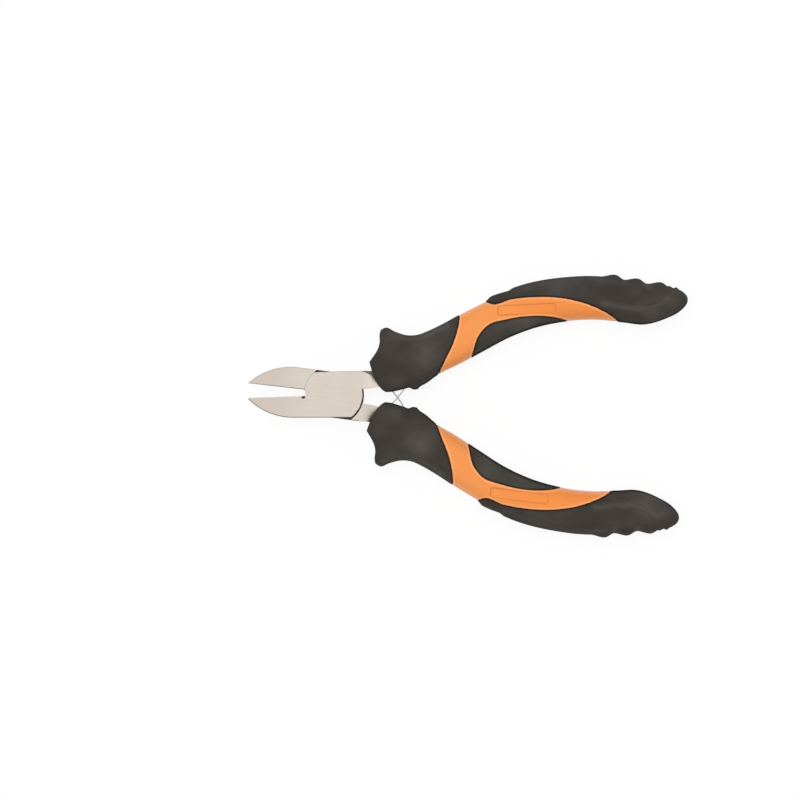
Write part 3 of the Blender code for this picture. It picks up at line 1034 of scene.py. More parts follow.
@dataclass
class GripPlan:
    """Plan of a closed grip: its sections, rim and seams, in millimetres."""

    # Inner and outer edge of each section, from the guard's front to the end of the butt.
    sections: tuple[tuple[Point, Point], ...] = (
        ((14.8, 0.05), (14.2, 18.10)), ((17.0, 0.10), (15.7, 18.75)), ((20.0, 0.60), (18.2, 17.50)),
        ((23.6, 1.00), (21.8, 16.25)), ((26.2, 2.00), (24.6, 16.25)), ((30.0, 4.40), (27.4, 17.10)),
        ((36.0, 7.00), (31.0, 18.60)), ((43.3, 10.60), (37.9, 21.95)), ((51.6, 14.50), (47.0, 25.95)),
        ((59.9, 17.05), (57.2, 29.30)), ((68.0, 18.20), (67.6, 30.90)), ((76.0, 18.25), (77.4, 30.80)),
        ((84.0, 17.20), (85.8, 29.20)), ((90.0, 16.35), (92.3, 27.80)), ((96.2, 17.75), (97.5, 26.70)),
        ((100.2, 19.60), (101.0, 25.55)), ((101.8, 21.00), (102.2, 24.40)), ((102.7, 22.30), (102.75, 23.25)),
    )
    # Front edge of the guard, from its inner to its outer side.
    rim: tuple[Point, ...] = (
        (14.8, 0.05), (13.2, 1.70), (11.65, 4.80), (10.9, 7.30), (10.5, 8.75),
        (11.1, 9.75), (13.1, 12.40), (13.8, 14.60), (13.8, 16.60), (14.2, 18.10),
    )
    # Seams between the core and each black moulding, drawn on past the grip's edges.
    guard_seam: tuple[Point, ...] = ((26.8, -2.0), (32.0, 8.2), (35.0, 14.0), (36.7, 19.5), (37.3, 26.0))
    inlay_seam: tuple[Point, ...] = (
        (38.9, 5.5), (40.3, 10.3), (42.3, 15.3), (45.0, 17.9), (50.5, 19.3),
        (58.0, 19.95), (64.0, 19.35), (70.5, 17.4), (76.0, 15.0),
    )
    sleeve_seam: tuple[Point, ...] = (
        (43.6, 30.0), (44.6, 25.0), (46.2, 24.1), (52.0, 25.15), (59.5, 25.45),
        (67.0, 24.65), (74.0, 22.55), (79.0, 20.0), (84.5, 16.0),
    )
    # Section numbers: both ends of the core's sleeve, then where depth or roundness has its key values.
    core_first_section: float = 1.2
    core_last_section: float = 15.0
    neck_section: int = 3
    oval_section: int = 7
    belly_section: int = 9
    scoop_section: int = 11
    heel_section: int = 13
    guard_depth: float = 10.6
    neck_depth: float = 10.4
    belly_depth: float = 11.8
    heel_depth: float = 11.2
    front_squareness: float = 4.0
    back_squareness: float = 2.5
    front_edge: float = 0.80
    front_round: float = 0.8
    butt_round: float = 2.4
    rib_crests: tuple[float, ...] = (82.15, 88.5, 95.05)
    rib_rise_run: float = 4.2
    rib_drop_run: float = 2.7
    rib_height: float = 1.05
    rib_face: float = 0.2
    rib_level: float = 0.6
    scoop_run: float = 2.0
    scoop_edge: float = 0.6
    scoop_slope: float = 3.0
    nubs: tuple[float, ...] = (97.7, 99.5)
    nub_width: float = 0.7
    nub_height: float = 0.55
    # Start, run, height and fade of each lip.
    lips: tuple[tuple[float, float, float, float], ...] = ((44.5, 2.1, 0.67, 7.5), (51.4, 1.6, 0.5, 18.0))
    # Middle, half the width at half height, and height of the notch and the bump at the spring's root.
    root_notch: tuple[float, float, float] = (21.6, 0.7, -0.25)
    root_bump: tuple[float, float, float] = (23.4, 0.9, 0.7)

    @property
    def last(self) -> int:
        """Number of the last section."""
        return len(self.sections) - 1

    def edges(self, place: float) -> tuple[Vector, Vector]:
        """Inner and outer edge of the grip at a section number, which may lie between sections.

        Args:
            place: Section number.

        Returns:
            A point on each edge.
        """
        inner = spline_at([section[0] for section in self.sections], place)
        outer = spline_at([section[1] for section in self.sections], place)
        return inner, outer

    def half_depth(self, place: float) -> float:
        """Half the grip's depth at a section number.

        Args:
            place: Section number.

        Returns:
            Half the depth.
        """
        keys = ((0, self.guard_depth), (self.neck_section, self.neck_depth),
                (self.belly_section, self.belly_depth), (self.heel_section, self.heel_depth))
        depth = self.heel_depth
        for (first, start), (last, end) in zip(keys, keys[1:]):
            if place <= last:
                depth = start + (end - start) * ease((place - first) / (last - first))
                break
        front = min(place / self.front_round, 1.0)
        depth *= self.front_edge + (1 - self.front_edge) * math.sqrt(1 - (1 - front) ** 2)
        share = max(0.0, (place - self.heel_section) / (self.last - self.heel_section))
        return depth / 2 * math.sqrt(max(0.0, 1 - share ** self.butt_round))

    def squareness(self, place: float) -> float:
        """Exponent of the section's superellipse: square at the guard, oval towards the butt."""
        share = min(place / self.oval_section, 1.0)
        return self.front_squareness + (self.back_squareness - self.front_squareness) * share

    def outer_rise(self, reach: float) -> float:
        """Height of the sleeve's lips, ribs and nubs on the outer edge, by distance along X.

        Args:
            reach: Distance along X.

        Returns:
            The height.
        """
        rise = 0.0
        for start, run, height, fade in self.lips:
            if start <= reach <= start + run + fade:
                rise += height * ease((reach - start) / run) * (1 - ease((reach - start - run) / fade))
        rise += self.rib_height * self.rib(reach)
        for nub in self.nubs:
            rise += self.nub_height * ease(1 - abs(reach - nub) / self.nub_width)
        return rise

    def rib(self, reach: float) -> float:
        """Profile of the ribs along X: 1 on a crest, 0 between ribs.

        Args:
            reach: Distance along X.

        Returns:
            The profile's height.
        """
        profile = 0.0
        for crest in self.rib_crests:
            run = self.rib_rise_run if reach < crest else self.rib_drop_run
            profile += ease(1 - abs(reach - crest) / run)
        return profile

    def inner_rise(self, reach: float) -> float:
        """Height of the bump and the notch where the spring roots leave the guard's inner edge.

        Args:
            reach: Distance along X.

        Returns:
            The height.
        """
        rise = 0.0
        for middle, width, height in (self.root_notch, self.root_bump):
            rise += height * ease(1 - abs(reach - middle) / width / 2)
        return rise

    def ring(self, place: float, sides: int, inset: float = 0.0, ridged: bool = False,
             flat: bool = False) -> Path:
        """One section of the grip as a ring of points.

        Args:
            place: Section number.
            sides: Points of the ring.
            inset: Distance that the ring lies under the surface.
            ridged: Whether the ring carries the lips, ribs and nubs.
            flat: Whether the ring lies flat in the middle plane, to close an end.

        Returns:
            The points of the ring.
        """
        inner, outer = self.edges(place)
        across = (outer - inner).normalized()
        width = (outer - inner).length - 2 * inset
        half_depth = 0.0 if flat else max(self.half_depth(place) - inset, 0.0)
        power = 2 / self.squareness(place)
        front_inner, front_outer = self.edges(0)
        rim = smooth(self.rim, RIM_STEPS)
        blend = max(0.0, 1 - place / self.neck_section) ** 2
        points = []
        for k in range(sides):
            angle = 2 * math.pi * k / sides
            side = math.copysign(abs(math.cos(angle)) ** power, math.cos(angle))
            lift = math.copysign(abs(math.sin(angle)) ** power, math.sin(angle))
            share = 0.5 - 0.5 * side
            point = inner + across * (inset + width * share)
            if blend > 0:
                point += (along(rim, share) - front_inner.lerp(front_outer, share)) * blend
            if inset == 0 and share < 0.5:
                point -= across * self.inner_rise(point.x) * (1 - 2 * share)
            if ridged and share > 0.5:
                scoop = ease((place - self.scoop_section) / self.scoop_run)
                scoop *= ease(self.scoop_slope * (share - self.scoop_edge))
                lift *= 1 + self.rib_face * (self.rib(point.x) - self.rib_level) * scoop
                point += across * self.outer_rise(point.x) * (2 * share - 1)
            points.append(Vector((point.x, point.y, LAP_PLANE + half_depth * lift)))
        return points

    def places(self, first: float, last: float, step: float) -> list[float]:
        """Section numbers from first to last that lie about one step apart along the outer edge.

        Args:
            first: First section number.
            last: Last section number.
            step: Distance from one to the next.

        Returns:
            The section numbers.
        """
        fine = [first + (last - first) * i / FINE_STEPS for i in range(FINE_STEPS + 1)]
        places = [first]
        run = 0.0
        for a, b in zip(fine, fine[1:]):
            run += (self.edges(b)[1] - self.edges(a)[1]).length
            if run >= step:
                places.append(b)
                run = 0.0
        return places + [last]

    def form(self, name: str, inset: float, ridged: bool = False) -> bpy.types.Object:
        """Whole outer form of the grip, set in under its surface.

        Args:
            name: Name of the object.
            inset: Distance under the surface.
            ridged: Whether it carries the lips, ribs and nubs.

        Returns:
            The form.
        """
        places = self.places(0.0, self.last, FORM_STEP)
        rings = [self.ring(0.0, FORM_SIDES, inset, ridged, flat=True)]
        rings += [self.ring(place, FORM_SIDES, inset, ridged) for place in places[:-1]]
        rings.append(self.ring(self.last, FORM_SIDES, inset, ridged, flat=True))
        return Bench.tube(name, rings)

    def inner_sleeve(self, name: str, inset: float) -> bpy.types.Object:
        """Form of the core's inner sleeve, which the black mouldings lie over.

        Args:
            name: Name of the object.
            inset: Distance under the grip's surface.

        Returns:
            The form.
        """
        places = self.places(self.core_first_section, self.core_last_section, SLEEVE_STEP)
        rings = [self.ring(places[0], SLEEVE_SIDES, inset, flat=True)]
        rings += [self.ring(place, SLEEVE_SIDES, inset) for place in places]
        rings.append(self.ring(places[-1], SLEEVE_SIDES, inset, flat=True))
        return Bench.tube(name, rings)

    def zone(self, moulding: Moulding, gap: float) -> bpy.types.Object:
        """Plate over one black moulding's side of its seam, drawn back from the seam by a gap.

        Args:
            moulding: One of the black mouldings.
            gap: Distance from the seam.

        Returns:
            The plate.
        """
        reach = self.sections[-1][1][0] + MARGIN
        top = max(outer[1] for inner, outer in self.sections) + MARGIN
        guard, inlay, sleeve = self.guard_seam, self.inlay_seam, self.sleeve_seam
        seam, corners, way = {
            Moulding.GUARD: (guard, [(0.0, guard[-1][1]), (0.0, guard[0][1])], 1),
            Moulding.INLAY: (inlay, [(inlay[-1][0], 0.0), (inlay[0][0], 0.0)], -1),
            Moulding.SLEEVE: (sleeve, [(sleeve[-1][0], 0.0), (reach, 0.0), (reach, top),
                                       (sleeve[0][0], top)], 1),
        }[moulding]
        path = smooth(seam, SEAM_STEPS)
        path = offset(path, [gap * way] * len(path))
        depth = self.belly_depth
        return Bench.plate("zone", path + [Vector(corner) for corner in corners],
                           LAP_PLANE - depth, LAP_PLANE + depth)


@dataclass
class TangPlan:
    """Plan of a closed half's tang and of the leaf spring beside it, in millimetres."""

    plan: GripPlan
    lap_radius: float = 8.5
    head_half_width: float = 6.55
    width: float = 5.1
    end_width: float = 3.6
    thickness: float = 5.4
    bend: float = 11.0
    ramp_start: float = 7.6
    ramp_end: float = 12.6
    sections: tuple[int, ...] = (4, 6, 7, 8, 9, 10)
    steps: int = 8
    spring_steps: int = 24
    spring_thickness: float = 0.35
    spring_width: float = 1.7
    spring_spacing: float = 0.4
    root_lean: float = math.radians(70.0)
    rest_reach: float = 16.1
    tip_depth: float = 1.0
    pin_diameter: float = 1.0
    pin_clearance: float = 0.1
    pin_reach: float = 22.4
    eye_wrap: float = math.radians(265.0)
    eye_gap: float = 0.4
    slot_gap: float = 0.3
    fit: float = 0.3

    @property
    def eye_radius(self) -> float:
        """Radius of the middle line of the spring's rolled eye."""
        return self.pin_diameter / 2 + self.pin_clearance + self.spring_thickness / 2

    @property
    def slot_half_width(self) -> float:
        """Half the height of the slot for both springs."""
        return self.spring_spacing / 2 + self.spring_width + self.slot_gap

    def path(self) -> tuple[Path, list[float]]:
        """Middle line of the tang and its half widths, from the lap disc into the grip.

        Returns:
            The middle line, and half the width at each of its points.
        """
        head = self.head_half_width - self.width / 2
        heel = math.sqrt(self.lap_radius ** 2 - (head - self.width / 2) ** 2)
        points = [Vector((heel, head)), Vector((self.bend, head))]
        for index in self.sections:
            inner, outer = self.plan.edges(index)
            points.append((inner + outer) / 2)
        path = smooth(points, self.steps)
        last = len(path) - 1
        return path, [(self.width + (self.end_width - self.width) * i / last) / 2 for i in range(last + 1)]

    def pin_place(self) -> Vector:
        """Centre of the spring pin.

        Returns:
            The centre.
        """
        path, widths = self.path()
        outside = self.eye_radius + self.spring_thickness / 2
        return at_reach(offset(path, [-(w + self.eye_gap + outside) for w in widths]), self.pin_reach)

    def spring_path(self) -> Path:
        """Middle line of the leaf spring at rest, from the end of its eye to its free end.

        Returns:
            The middle line.
        """
        pin = self.pin_place()
        edge = at_reach([Vector(inner) for inner, outer in self.plan.sections], self.rest_reach)
        tip = Matrix.Rotation(-REST_OPENING, 2) @ Vector((self.rest_reach, -edge.y - self.tip_depth)) - pin
        way = Vector((-math.cos(self.root_lean), -math.sin(self.root_lean)))
        leave = math.pi / 2 + self.root_lean
        path = arc(self.eye_radius, leave - self.eye_wrap, leave)
        start = path[-1]
        control = start + way * (tip - start).length / 2
        for i in range(1, self.spring_steps + 1):
            share = i / self.spring_steps
            path.append(start * (1 - share) ** 2 + control * 2 * share * (1 - share) + tip * share ** 2)
        return [point + pin for point in path]

    def cavity(self) -> bpy.types.Object:
        """Room in the grip that the tang fits in.

        Returns:
            The room as a cutting tool.
        """
        path, widths = self.path()
        lead = path[0] - (path[1] - path[0]).normalized() * self.fit
        tail = path[-1] + (path[-1] - path[-2]).normalized() * self.fit
        widths = [w + self.fit for w in [widths[0]] + widths + [widths[-1]]]
        depth = self.thickness / 2 + self.fit
        outline = strip([lead] + path + [tail], widths)
        return Bench.plate("cavity", outline, LAP_PLANE - depth, LAP_PLANE + depth)

    def slot(self) -> bpy.types.Object:
        """Room in the guard and core that the springs lie and fold in.

        Returns:
            The room as a cutting tool.
        """
        pin = self.pin_place()
        pocket = self.eye_radius + self.spring_thickness / 2 + self.eye_gap
        nose = min(corner[0] for corner in self.plan.rim)
        middle = self.path()[0]
        outline = [Vector((nose, -MARGIN)), Vector((pin.x + pocket, -MARGIN))]
        outline += arc(pocket, 0.0, math.pi / 2, pin)
        outline += [at_reach(middle, pin.x), at_reach(middle, nose)]
        depth = self.slot_half_width
        return Bench.plate("slot", outline, LAP_PLANE - depth, LAP_PLANE + depth)


def hand_over(item: bpy.types.Object, body: str, node: str, finish: Finish) -> None:
    """Give a finished piece its material, hang it on the body that it rides on, and hide the CAD node that it
    stands for.

    Args:
        item: The piece, in its place.
        body: Body that it rides on.
        node: CAD node that it stands for.
        finish: Its finish.
    """
    item.data.materials.clear()
    item.data.materials.append(finish.material)
    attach(item, body)
    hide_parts(node)
    LOG.info("%s: %d faces, rides on %s", item.name, len(item.data.polygons), body)


def settle(item: bpy.types.Object, side: Side, flat: float) -> None:
    """Put a piece in its place on a handle and smooth its shading.

    Args:
        item: The piece in the closed frame.
        side: Handle that it belongs to.
        flat: Largest angle between two faces that are shaded as one.
    """
    item.data.transform(side.placing())
    Bench.take(item)
    bpy.ops.object.shade_smooth_by_angle(angle=flat)


@dataclass(frozen=True)
class JawGrind:
    """How one half is ground: its jaw's width, the bevel on the jaw's front face, its shoulder and its heel.

    The edge's rise is counted from the centre line towards the tang, and the edge line is the width of
    the line of painted shade beside the bevel.
    """

    half_width: float
    tip_width: float
    tip_inset: float
    edge_rise: float
    bevel_throat: float
    bevel_tip: float
    edge_line: float
    heel_inset: float
    heel_flare: float
    shoulder_rise: float


@dataclass(frozen=True)
class SteelShadeMarks:
    """How much painted shade each kind of face gets, and how steep the faces of that kind are.

    A lean is the upright part of a face's normal: 1 on a level face, 0 on an upright one. A tilt is its
    part across the tool.
    """

    covered_depth: float = 0.3
    upright_lean: float = 0.1
    floor: float = 0.8
    line: float = 0.7
    line_lean: Span = (0.68, 0.97)
    bevel_tilt: float = 0.2
    shaded: float = 0.75
    shaded_lean: float = 0.97
    shaded_tilt: float = -0.15
    rounded: float = 0.25
    rounded_lean: float = 0.9


@dataclass
class SteelHalf:
    """One half, made by forging: jaw, lap disc and tang in one piece."""

    tang: TangPlan
    side: Side
    jaw: JawGrind
    marks: SteelShadeMarks = SteelShadeMarks()
    lap_gap: float = 0.07
    throat_flat: float = 0.4
    throat_flat_start: float = 2.96
    throat_flat_run: float = 0.04
    lap_face_gap: float = 0.1
    jaw_length: float = 24.6
    jaw_shoulder: float = 11.0
    jaw_tip_thickness: float = 3.4
    jaw_taper_start: float = 10.5
    edge_gap: float = 0.04
    face_bevel_depth: float = 0.9
    face_bevel_tip_depth: float = 0.29
    edge_line_depth: float = 0.5
    back_bevel: float = math.radians(22.0)
    # Middle of the relief notch in the throat, and half its length and width.
    throat: tuple[float, float, float, float] = (-8.68, -0.3, 0.56, 0.36)
    throat_depth: float = 1.5
    tang_step: tuple[Point, ...] = (
        (7.4, 6.7), (9.2, 6.1), (10.4, 5.5), (11.6, 4.8), (16.0, 3.0), (16.0, 8.0),
    )
    tang_step_depth: float = 1.5
    rivet_hole: float = 2.66
    rivet_sink: float = 3.658
    rivet_sink_depth: float = 1.0
    perimeter_round: float = 0.3

    def outline(self) -> Path:
        """Outline of the closed half: jaw below the centre line, lap disc, tang above it.

        Returns:
            The outline.
        """
        radius = self.tang.lap_radius
        wide = self.tang.head_half_width
        side = math.asin((wide + self.jaw.shoulder_rise) / radius)
        edge = self.edge_gap / 2 - self.jaw.edge_rise
        heel_radius = radius - self.jaw.heel_inset
        heel_side = math.asin((wide + self.jaw.heel_flare) / heel_radius)
        tip = self.jaw_length - self.jaw.tip_inset
        run = tip - self.jaw_shoulder
        drop = self.jaw.half_width - self.jaw.tip_width
        back = (run ** 2 + drop ** 2) / (2 * drop)
        centre = (-self.jaw_shoulder, back - self.jaw.half_width)
        tip_angle = math.pi + math.asin((back - drop) / back)
        path, widths = self.tang.path()
        tang = strip(path, [-w for w in widths])
        heel = math.atan2(tang[0].y, tang[0].x)
        outline = [Vector((-tip, -edge))]
        outline += arc(back, tip_angle, 1.5 * math.pi, centre)
        outline += arc(heel_radius, -heel_side, heel)[:-1]
        outline += tang
        for point in arc(radius, math.pi - side, math.pi + math.asin(edge / radius)):
            turn = math.atan2(abs(point.y), point.x) - self.throat_flat_start
            flat = self.throat_flat * ease(turn / self.throat_flat_run)
            outline.append(point * (1 - flat / radius))
        return outline

    @property
    def node(self) -> str:
        """CAD node that the half stands for."""
        return "front_half" if self.side is Side.UPPER else "rear_half"

    @property
    def root(self) -> float:
        """Distance from the pivot at which the jaw starts."""
        return self.tang.lap_radius + self.lap_gap

    @property
    def far(self) -> float:
        """Distance from the pivot that the tools for the jaw reach."""
        return self.jaw_length + MARGIN

    def jaw_share(self, x: float) -> float:
        """Share of the way from the jaw's root to its tip."""
        return (-x - self.root) / (self.jaw_length - self.root)

    def bevel_depth(self, x: float) -> float:
        """Depth of the bevel on the jaw's front face."""
        return self.face_bevel_depth + (self.face_bevel_tip_depth - self.face_bevel_depth) * self.jaw_share(x)

    def bevel_width(self, x: float) -> float:
        """Width of the bevel on the jaw's front face."""
        return self.jaw.bevel_throat + (self.jaw.bevel_tip - self.jaw.bevel_throat) * self.jaw_share(x)

    def level(self, height: float) -> float:
        """Height in the half's own frame; the lower handle's half is turned over."""
        return JOINT_THICKNESS - height if self.side is Side.LOWER else height

    def grind(self) -> list[bpy.types.Object]:
        """Tools that taper the jaw's back and grind both bevels of the cutting edge.

        Returns:
            The tools.
        """
        wide = self.tang.head_half_width + MARGIN
        far = self.far
        start = self.jaw_taper_start
        slope = (JOINT_THICKNESS - self.jaw_tip_thickness) / (self.jaw_length - start)
        taper = [(-start, self.level(0.0)), (-far, self.level(slope * (far - start))),
                 (-far, self.level(-MARGIN)), (-start, self.level(-MARGIN))]
        tools = [Bench.plate("taper", taper, -wide, wide, SIDE_VIEW)]
        tools += [self.back_tool(), self.face_tool(1.0, 0.0)]
        if self.jaw.edge_line > 0:
            tools.append(self.face_tool(self.edge_line_depth, self.jaw.edge_line))
        return tools

    def back_tool(self) -> bpy.types.Object:
        """Wedge that grinds the bevel behind the cutting edge.

        Returns:
            The wedge.
        """
        low = self.level(-MARGIN)
        wide = (JOINT_THICKNESS - self.face_bevel_depth + MARGIN) * math.tan(self.back_bevel)
        edge = self.jaw.edge_rise
        outline = [(edge, 0.0), (edge + wide, low), (edge - wide, low)]
        tool = Bench.plate("back", outline, -self.far, -self.root, END_VIEW)
        for vertex in tool.data.vertices:
            if abs(vertex.co.y - edge) < WELD:
                vertex.co.z = self.level(JOINT_THICKNESS - self.bevel_depth(vertex.co.x))
        return tool

    def face_tool(self, depth_share: float, extra: float) -> bpy.types.Object:
        """Wedge that grinds a bevel into the jaw's front face along the cutting edge.

        Args:
            depth_share: Its depth as a share of the front bevel's depth.
            extra: How much wider than the front bevel it is.

        Returns:
            The wedge.
        """
        top = self.level(JOINT_THICKNESS + MARGIN)
        edge = self.jaw.edge_rise
        rings = []
        for i in range(GRIND_STEPS + 1):
            x = -self.root - (self.far - self.root) * i / GRIND_STEPS
            depth = depth_share * self.bevel_depth(x)
            width = (self.bevel_width(x) + extra) * (depth + MARGIN) / depth
            rings.append([Vector((x, edge, self.level(JOINT_THICKNESS - depth))),
                          Vector((x, edge + width, top)), Vector((x, edge - width, top))])
        first, last = ([sum(ring, Vector()) / len(ring)] * len(ring) for ring in (rings[0], rings[-1]))
        return Bench.tube("face", [first] + rings + [last])

    def is_rounded(self, first: Vector, last: Vector) -> bool:
        """Whether an edge of the forging is rounded: all round both faces, but not the lap or cutting edge.

        Args:
            first: One end of the edge.
            last: Its other end.

        Returns:
            Whether it is rounded.
        """
        edge = self.jaw.edge_rise - self.edge_gap
        cutting = min(first.x, last.x) < -self.root and min(first.y, last.y) > edge
        lap = max(first.x, last.x) < 0 and max(first.xy.length, last.xy.length) < self.root
        return abs(first.z - last.z) < WELD and not cutting and not lap

    def tang_tools(self) -> list[bpy.types.Object]:
        """Tools that thin the tang on both faces behind a smooth ramp.

        Returns:
            The tools.
        """
        tang = self.tang
        far = tang.plan.sections[-1][0][0]
        low = LAP_PLANE - tang.thickness / 2
        run = tang.ramp_end - tang.ramp_start
        ramp = [(tang.ramp_start + run * i / RAMP_STEPS, low * ease(i / RAMP_STEPS))
                for i in range(RAMP_STEPS + 1)]
        ramp += [(far, low), (far, -MARGIN), (tang.ramp_start, -MARGIN)]
        ramp_top = [(x, JOINT_THICKNESS - z) for x, z in ramp]
        return [Bench.plate("tang_back", ramp, -far, far, SIDE_VIEW),
                Bench.plate("tang_front", ramp_top, -far, far, SIDE_VIEW)]

    def rivet_tool(self) -> bpy.types.Object:
        """Countersunk hole for the rivet."""
        profile = [(0.0, -MARGIN), (self.rivet_sink, -MARGIN), (self.rivet_sink, 0.0),
                   (self.rivet_hole, self.rivet_sink_depth)]
        return Bench.turned("hole", both_faces(profile), RIVET_SIDES)

    def front_tools(self) -> list[bpy.types.Object]:
        """Tools for the front half alone: the relief notch in the throat and the step beside the tang.

        Returns:
            The tools.
        """
        x, y, long, wide = self.throat
        notch = [(x + long * p.x, y + wide * p.y) for p in arc(1.0, 0.0, 2 * math.pi)[:-1]]
        top = JOINT_THICKNESS + MARGIN
        return [Bench.plate("notch", notch, JOINT_THICKNESS - self.throat_depth, top),
                Bench.plate("step", self.tang_step, JOINT_THICKNESS - self.tang_step_depth, top)]

    def build(self) -> bpy.types.Object:
        """Make the half in its closed frame.

        Returns:
            The half.
        """
        item = Bench.plate(f"{self.node}_steel", self.outline(), 0.0, JOINT_THICKNESS)
        Bench.ease_edges(item, self.is_rounded, self.perimeter_round, ROUND_SEGMENTS)
        lap_face = LAP_PLANE + self.lap_face_gap / 2
        pocket = Bench.bar("pocket", self.root, -MARGIN, lap_face, (0.0, 0.0), POCKET_SIDES)
        tools = [pocket, self.rivet_tool(), *self.tang_tools(), *self.grind()]
        if self.side is Side.UPPER:
            tools += self.front_tools()
        Bench.combine(item, "DIFFERENCE", *tools)
        Bench.tidy_normals(item)
        return item

    def mark_faces(self, item: bpy.types.Object) -> None:
        """Mark the polished ground bevels, which are painted near white as a painted reflection, and the
        faces that get painted shade: upright sides, hidden lap faces, sunk floors, the line beside the bevel,
        faces turned down in the view and rounds.

        Args:
            item: The half in its closed frame.
        """
        ground = item.data.attributes.new("ground", "FLOAT", "FACE")
        forged = item.data.attributes.new("forged", "FLOAT", "FACE")
        marks = self.marks
        least, most = marks.line_lean
        back = JOINT_THICKNESS * math.tan(self.back_bevel)
        view_up = 1 if self.side is Side.UPPER else -1
        sunk = [JOINT_THICKNESS - depth for depth in (self.throat_depth, self.tang_step_depth)]
        for face in item.data.polygons:
            middle = face.center
            lean = abs(face.normal.z)
            deep = marks.covered_depth < middle.z < JOINT_THICKNESS - marks.covered_depth
            covered = deep and math.hypot(middle.x, middle.y) < self.root
            floor = self.side is Side.UPPER and min(abs(middle.z - level) for level in sunk) < WELD
            on_jaw = middle.x < -self.root
            below = self.jaw.edge_rise - middle.y
            line = self.jaw.edge_line > 0 and abs(below - self.bevel_width(middle.x)) < 2 * self.jaw.edge_line
            # Painted shade: full on upright sides and hidden lap faces, less on sunk floors and on the line
            # beside the bevel.
            if covered or lean < marks.upright_lean:
                forged.data[face.index].value = 1.0
            elif floor:
                forged.data[face.index].value = marks.floor
            elif on_jaw and line and least < lean < most:
                forged.data[face.index].value = marks.line
            # Polished ground bevels beside the cutting edge, painted near white as a painted reflection.
            elif on_jaw and abs(below) < back and face.normal.y > marks.bevel_tilt:
                ground.data[face.index].value = 1.0
            # Painted shade on faces turned down in the view, and a little on other rounds.
            elif lean < marks.shaded_lean and face.normal.y * view_up < marks.shaded_tilt:
                forged.data[face.index].value = marks.shaded
            elif lean < marks.rounded_lean:
                forged.data[face.index].value = marks.rounded

    def dress(self, finish: Finish) -> None:
        """Build, place and finish the half.

        Args:
            finish: Finish of the steel.
        """
        item = self.build()
        self.mark_faces(item)
        settle(item, self.side, FLAT_ANGLE)
        hand_over(item, self.side.handle, self.node, finish)


@dataclass
class PivotRivet:
    """Rivet with countersunk heads, ground flush with both faces."""

    shank: float = 2.6
    head: float = 3.657
    head_height: float = 1.0
    edge: float = 0.004

    def dress(self, finish: Finish) -> None:
        """Build, place and finish the rivet.

        Args:
            finish: Finish of the steel.
        """
        profile = [(0.0, 0.0), (self.head - self.edge, 0.0),
                   (self.head, self.edge), (self.shank, self.head_height)]
        item = Bench.turned("pivot_rivet_steel", both_faces(profile), RIVET_SIDES)
        settle(item, Side.UPPER, FLAT_ANGLE)
        hand_over(item, Side.UPPER.handle, "pivot_rivet", finish)


@dataclass
class LeafSpring:
    """Leaf spring with a rolled eye about its pin."""

    tang: TangPlan
    side: Side
    thickness: float
    edge: float = 0.05
    edge_segments: int = 2

    def dress(self, finish: Finish) -> None:
        """Build, place and finish the spring.

        Args:
            finish: Finish of the steel.
        """
        tang = self.tang
        name = self.side.value
        path = tang.spring_path()
        low = LAP_PLANE - tang.spring_spacing / 2 - tang.spring_width
        outline = strip(path, [self.thickness / 2] * len(path))
        item = Bench.plate(f"{name}_spring_leaf", outline, low, low + tang.spring_width)
        Bench.round_corners(item, self.edge, self.edge_segments)
        settle(item, self.side, BEND_ANGLE)
        hand_over(item, self.side.spring, f"{name}_leaf_spring", finish)


@dataclass
class SpringPin:
    """Cross pin that holds a spring's eye, with rounded ends."""

    tang: TangPlan
    seat: float = 0.7
    end_round: float = 0.15

    def dress(self, finish: Finish) -> None:
        """Build one pin, then place and finish it on both handles.

        Args:
            finish: Finish of the steel.
        """
        half = self.tang.slot_half_width + self.seat
        pin = Bench.bar("pin", self.tang.pin_diameter / 2, LAP_PLANE - half, LAP_PLANE + half,
                        self.tang.pin_place(), PIN_SIDES)
        Bench.round_corners(pin, self.end_round, ROUND_SEGMENTS)
        for side in Side:
            item = Bench.copy(pin, f"{side.value}_pin")
            settle(item, side, BEND_ANGLE)
            hand_over(item, side.handle, f"{side.value}_spring_pin", finish)
        Bench.discard(pin)


@dataclass(frozen=True)
class MouldingLightMarks:
    """How a moulding's sides and seams are marked with painted shade and painted highlight, and where painted
    sheen lies.

    A lean is the upright part of a surface's normal: 1 on a level face, 0 on an upright side. A mark on a
    side starts below a lean and is full one run further down.
    """

    core_side: float = 0.5
    core_lean: float = 0.8
    core_run: float = 0.6
    core_seam_place: float = 0.4
    core_seam_width: float = 0.22
    side_lean: float = 0.62
    side_run: float = 0.4
    side_tilt: float = 0.6
    side_least: float = 0.25
    seam: float = 0.8
    seam_width: float = 0.4
    inner: float = 0.4
    inner_sheen_lean: float = 0.93
    inner_sheen_run: float = 0.3


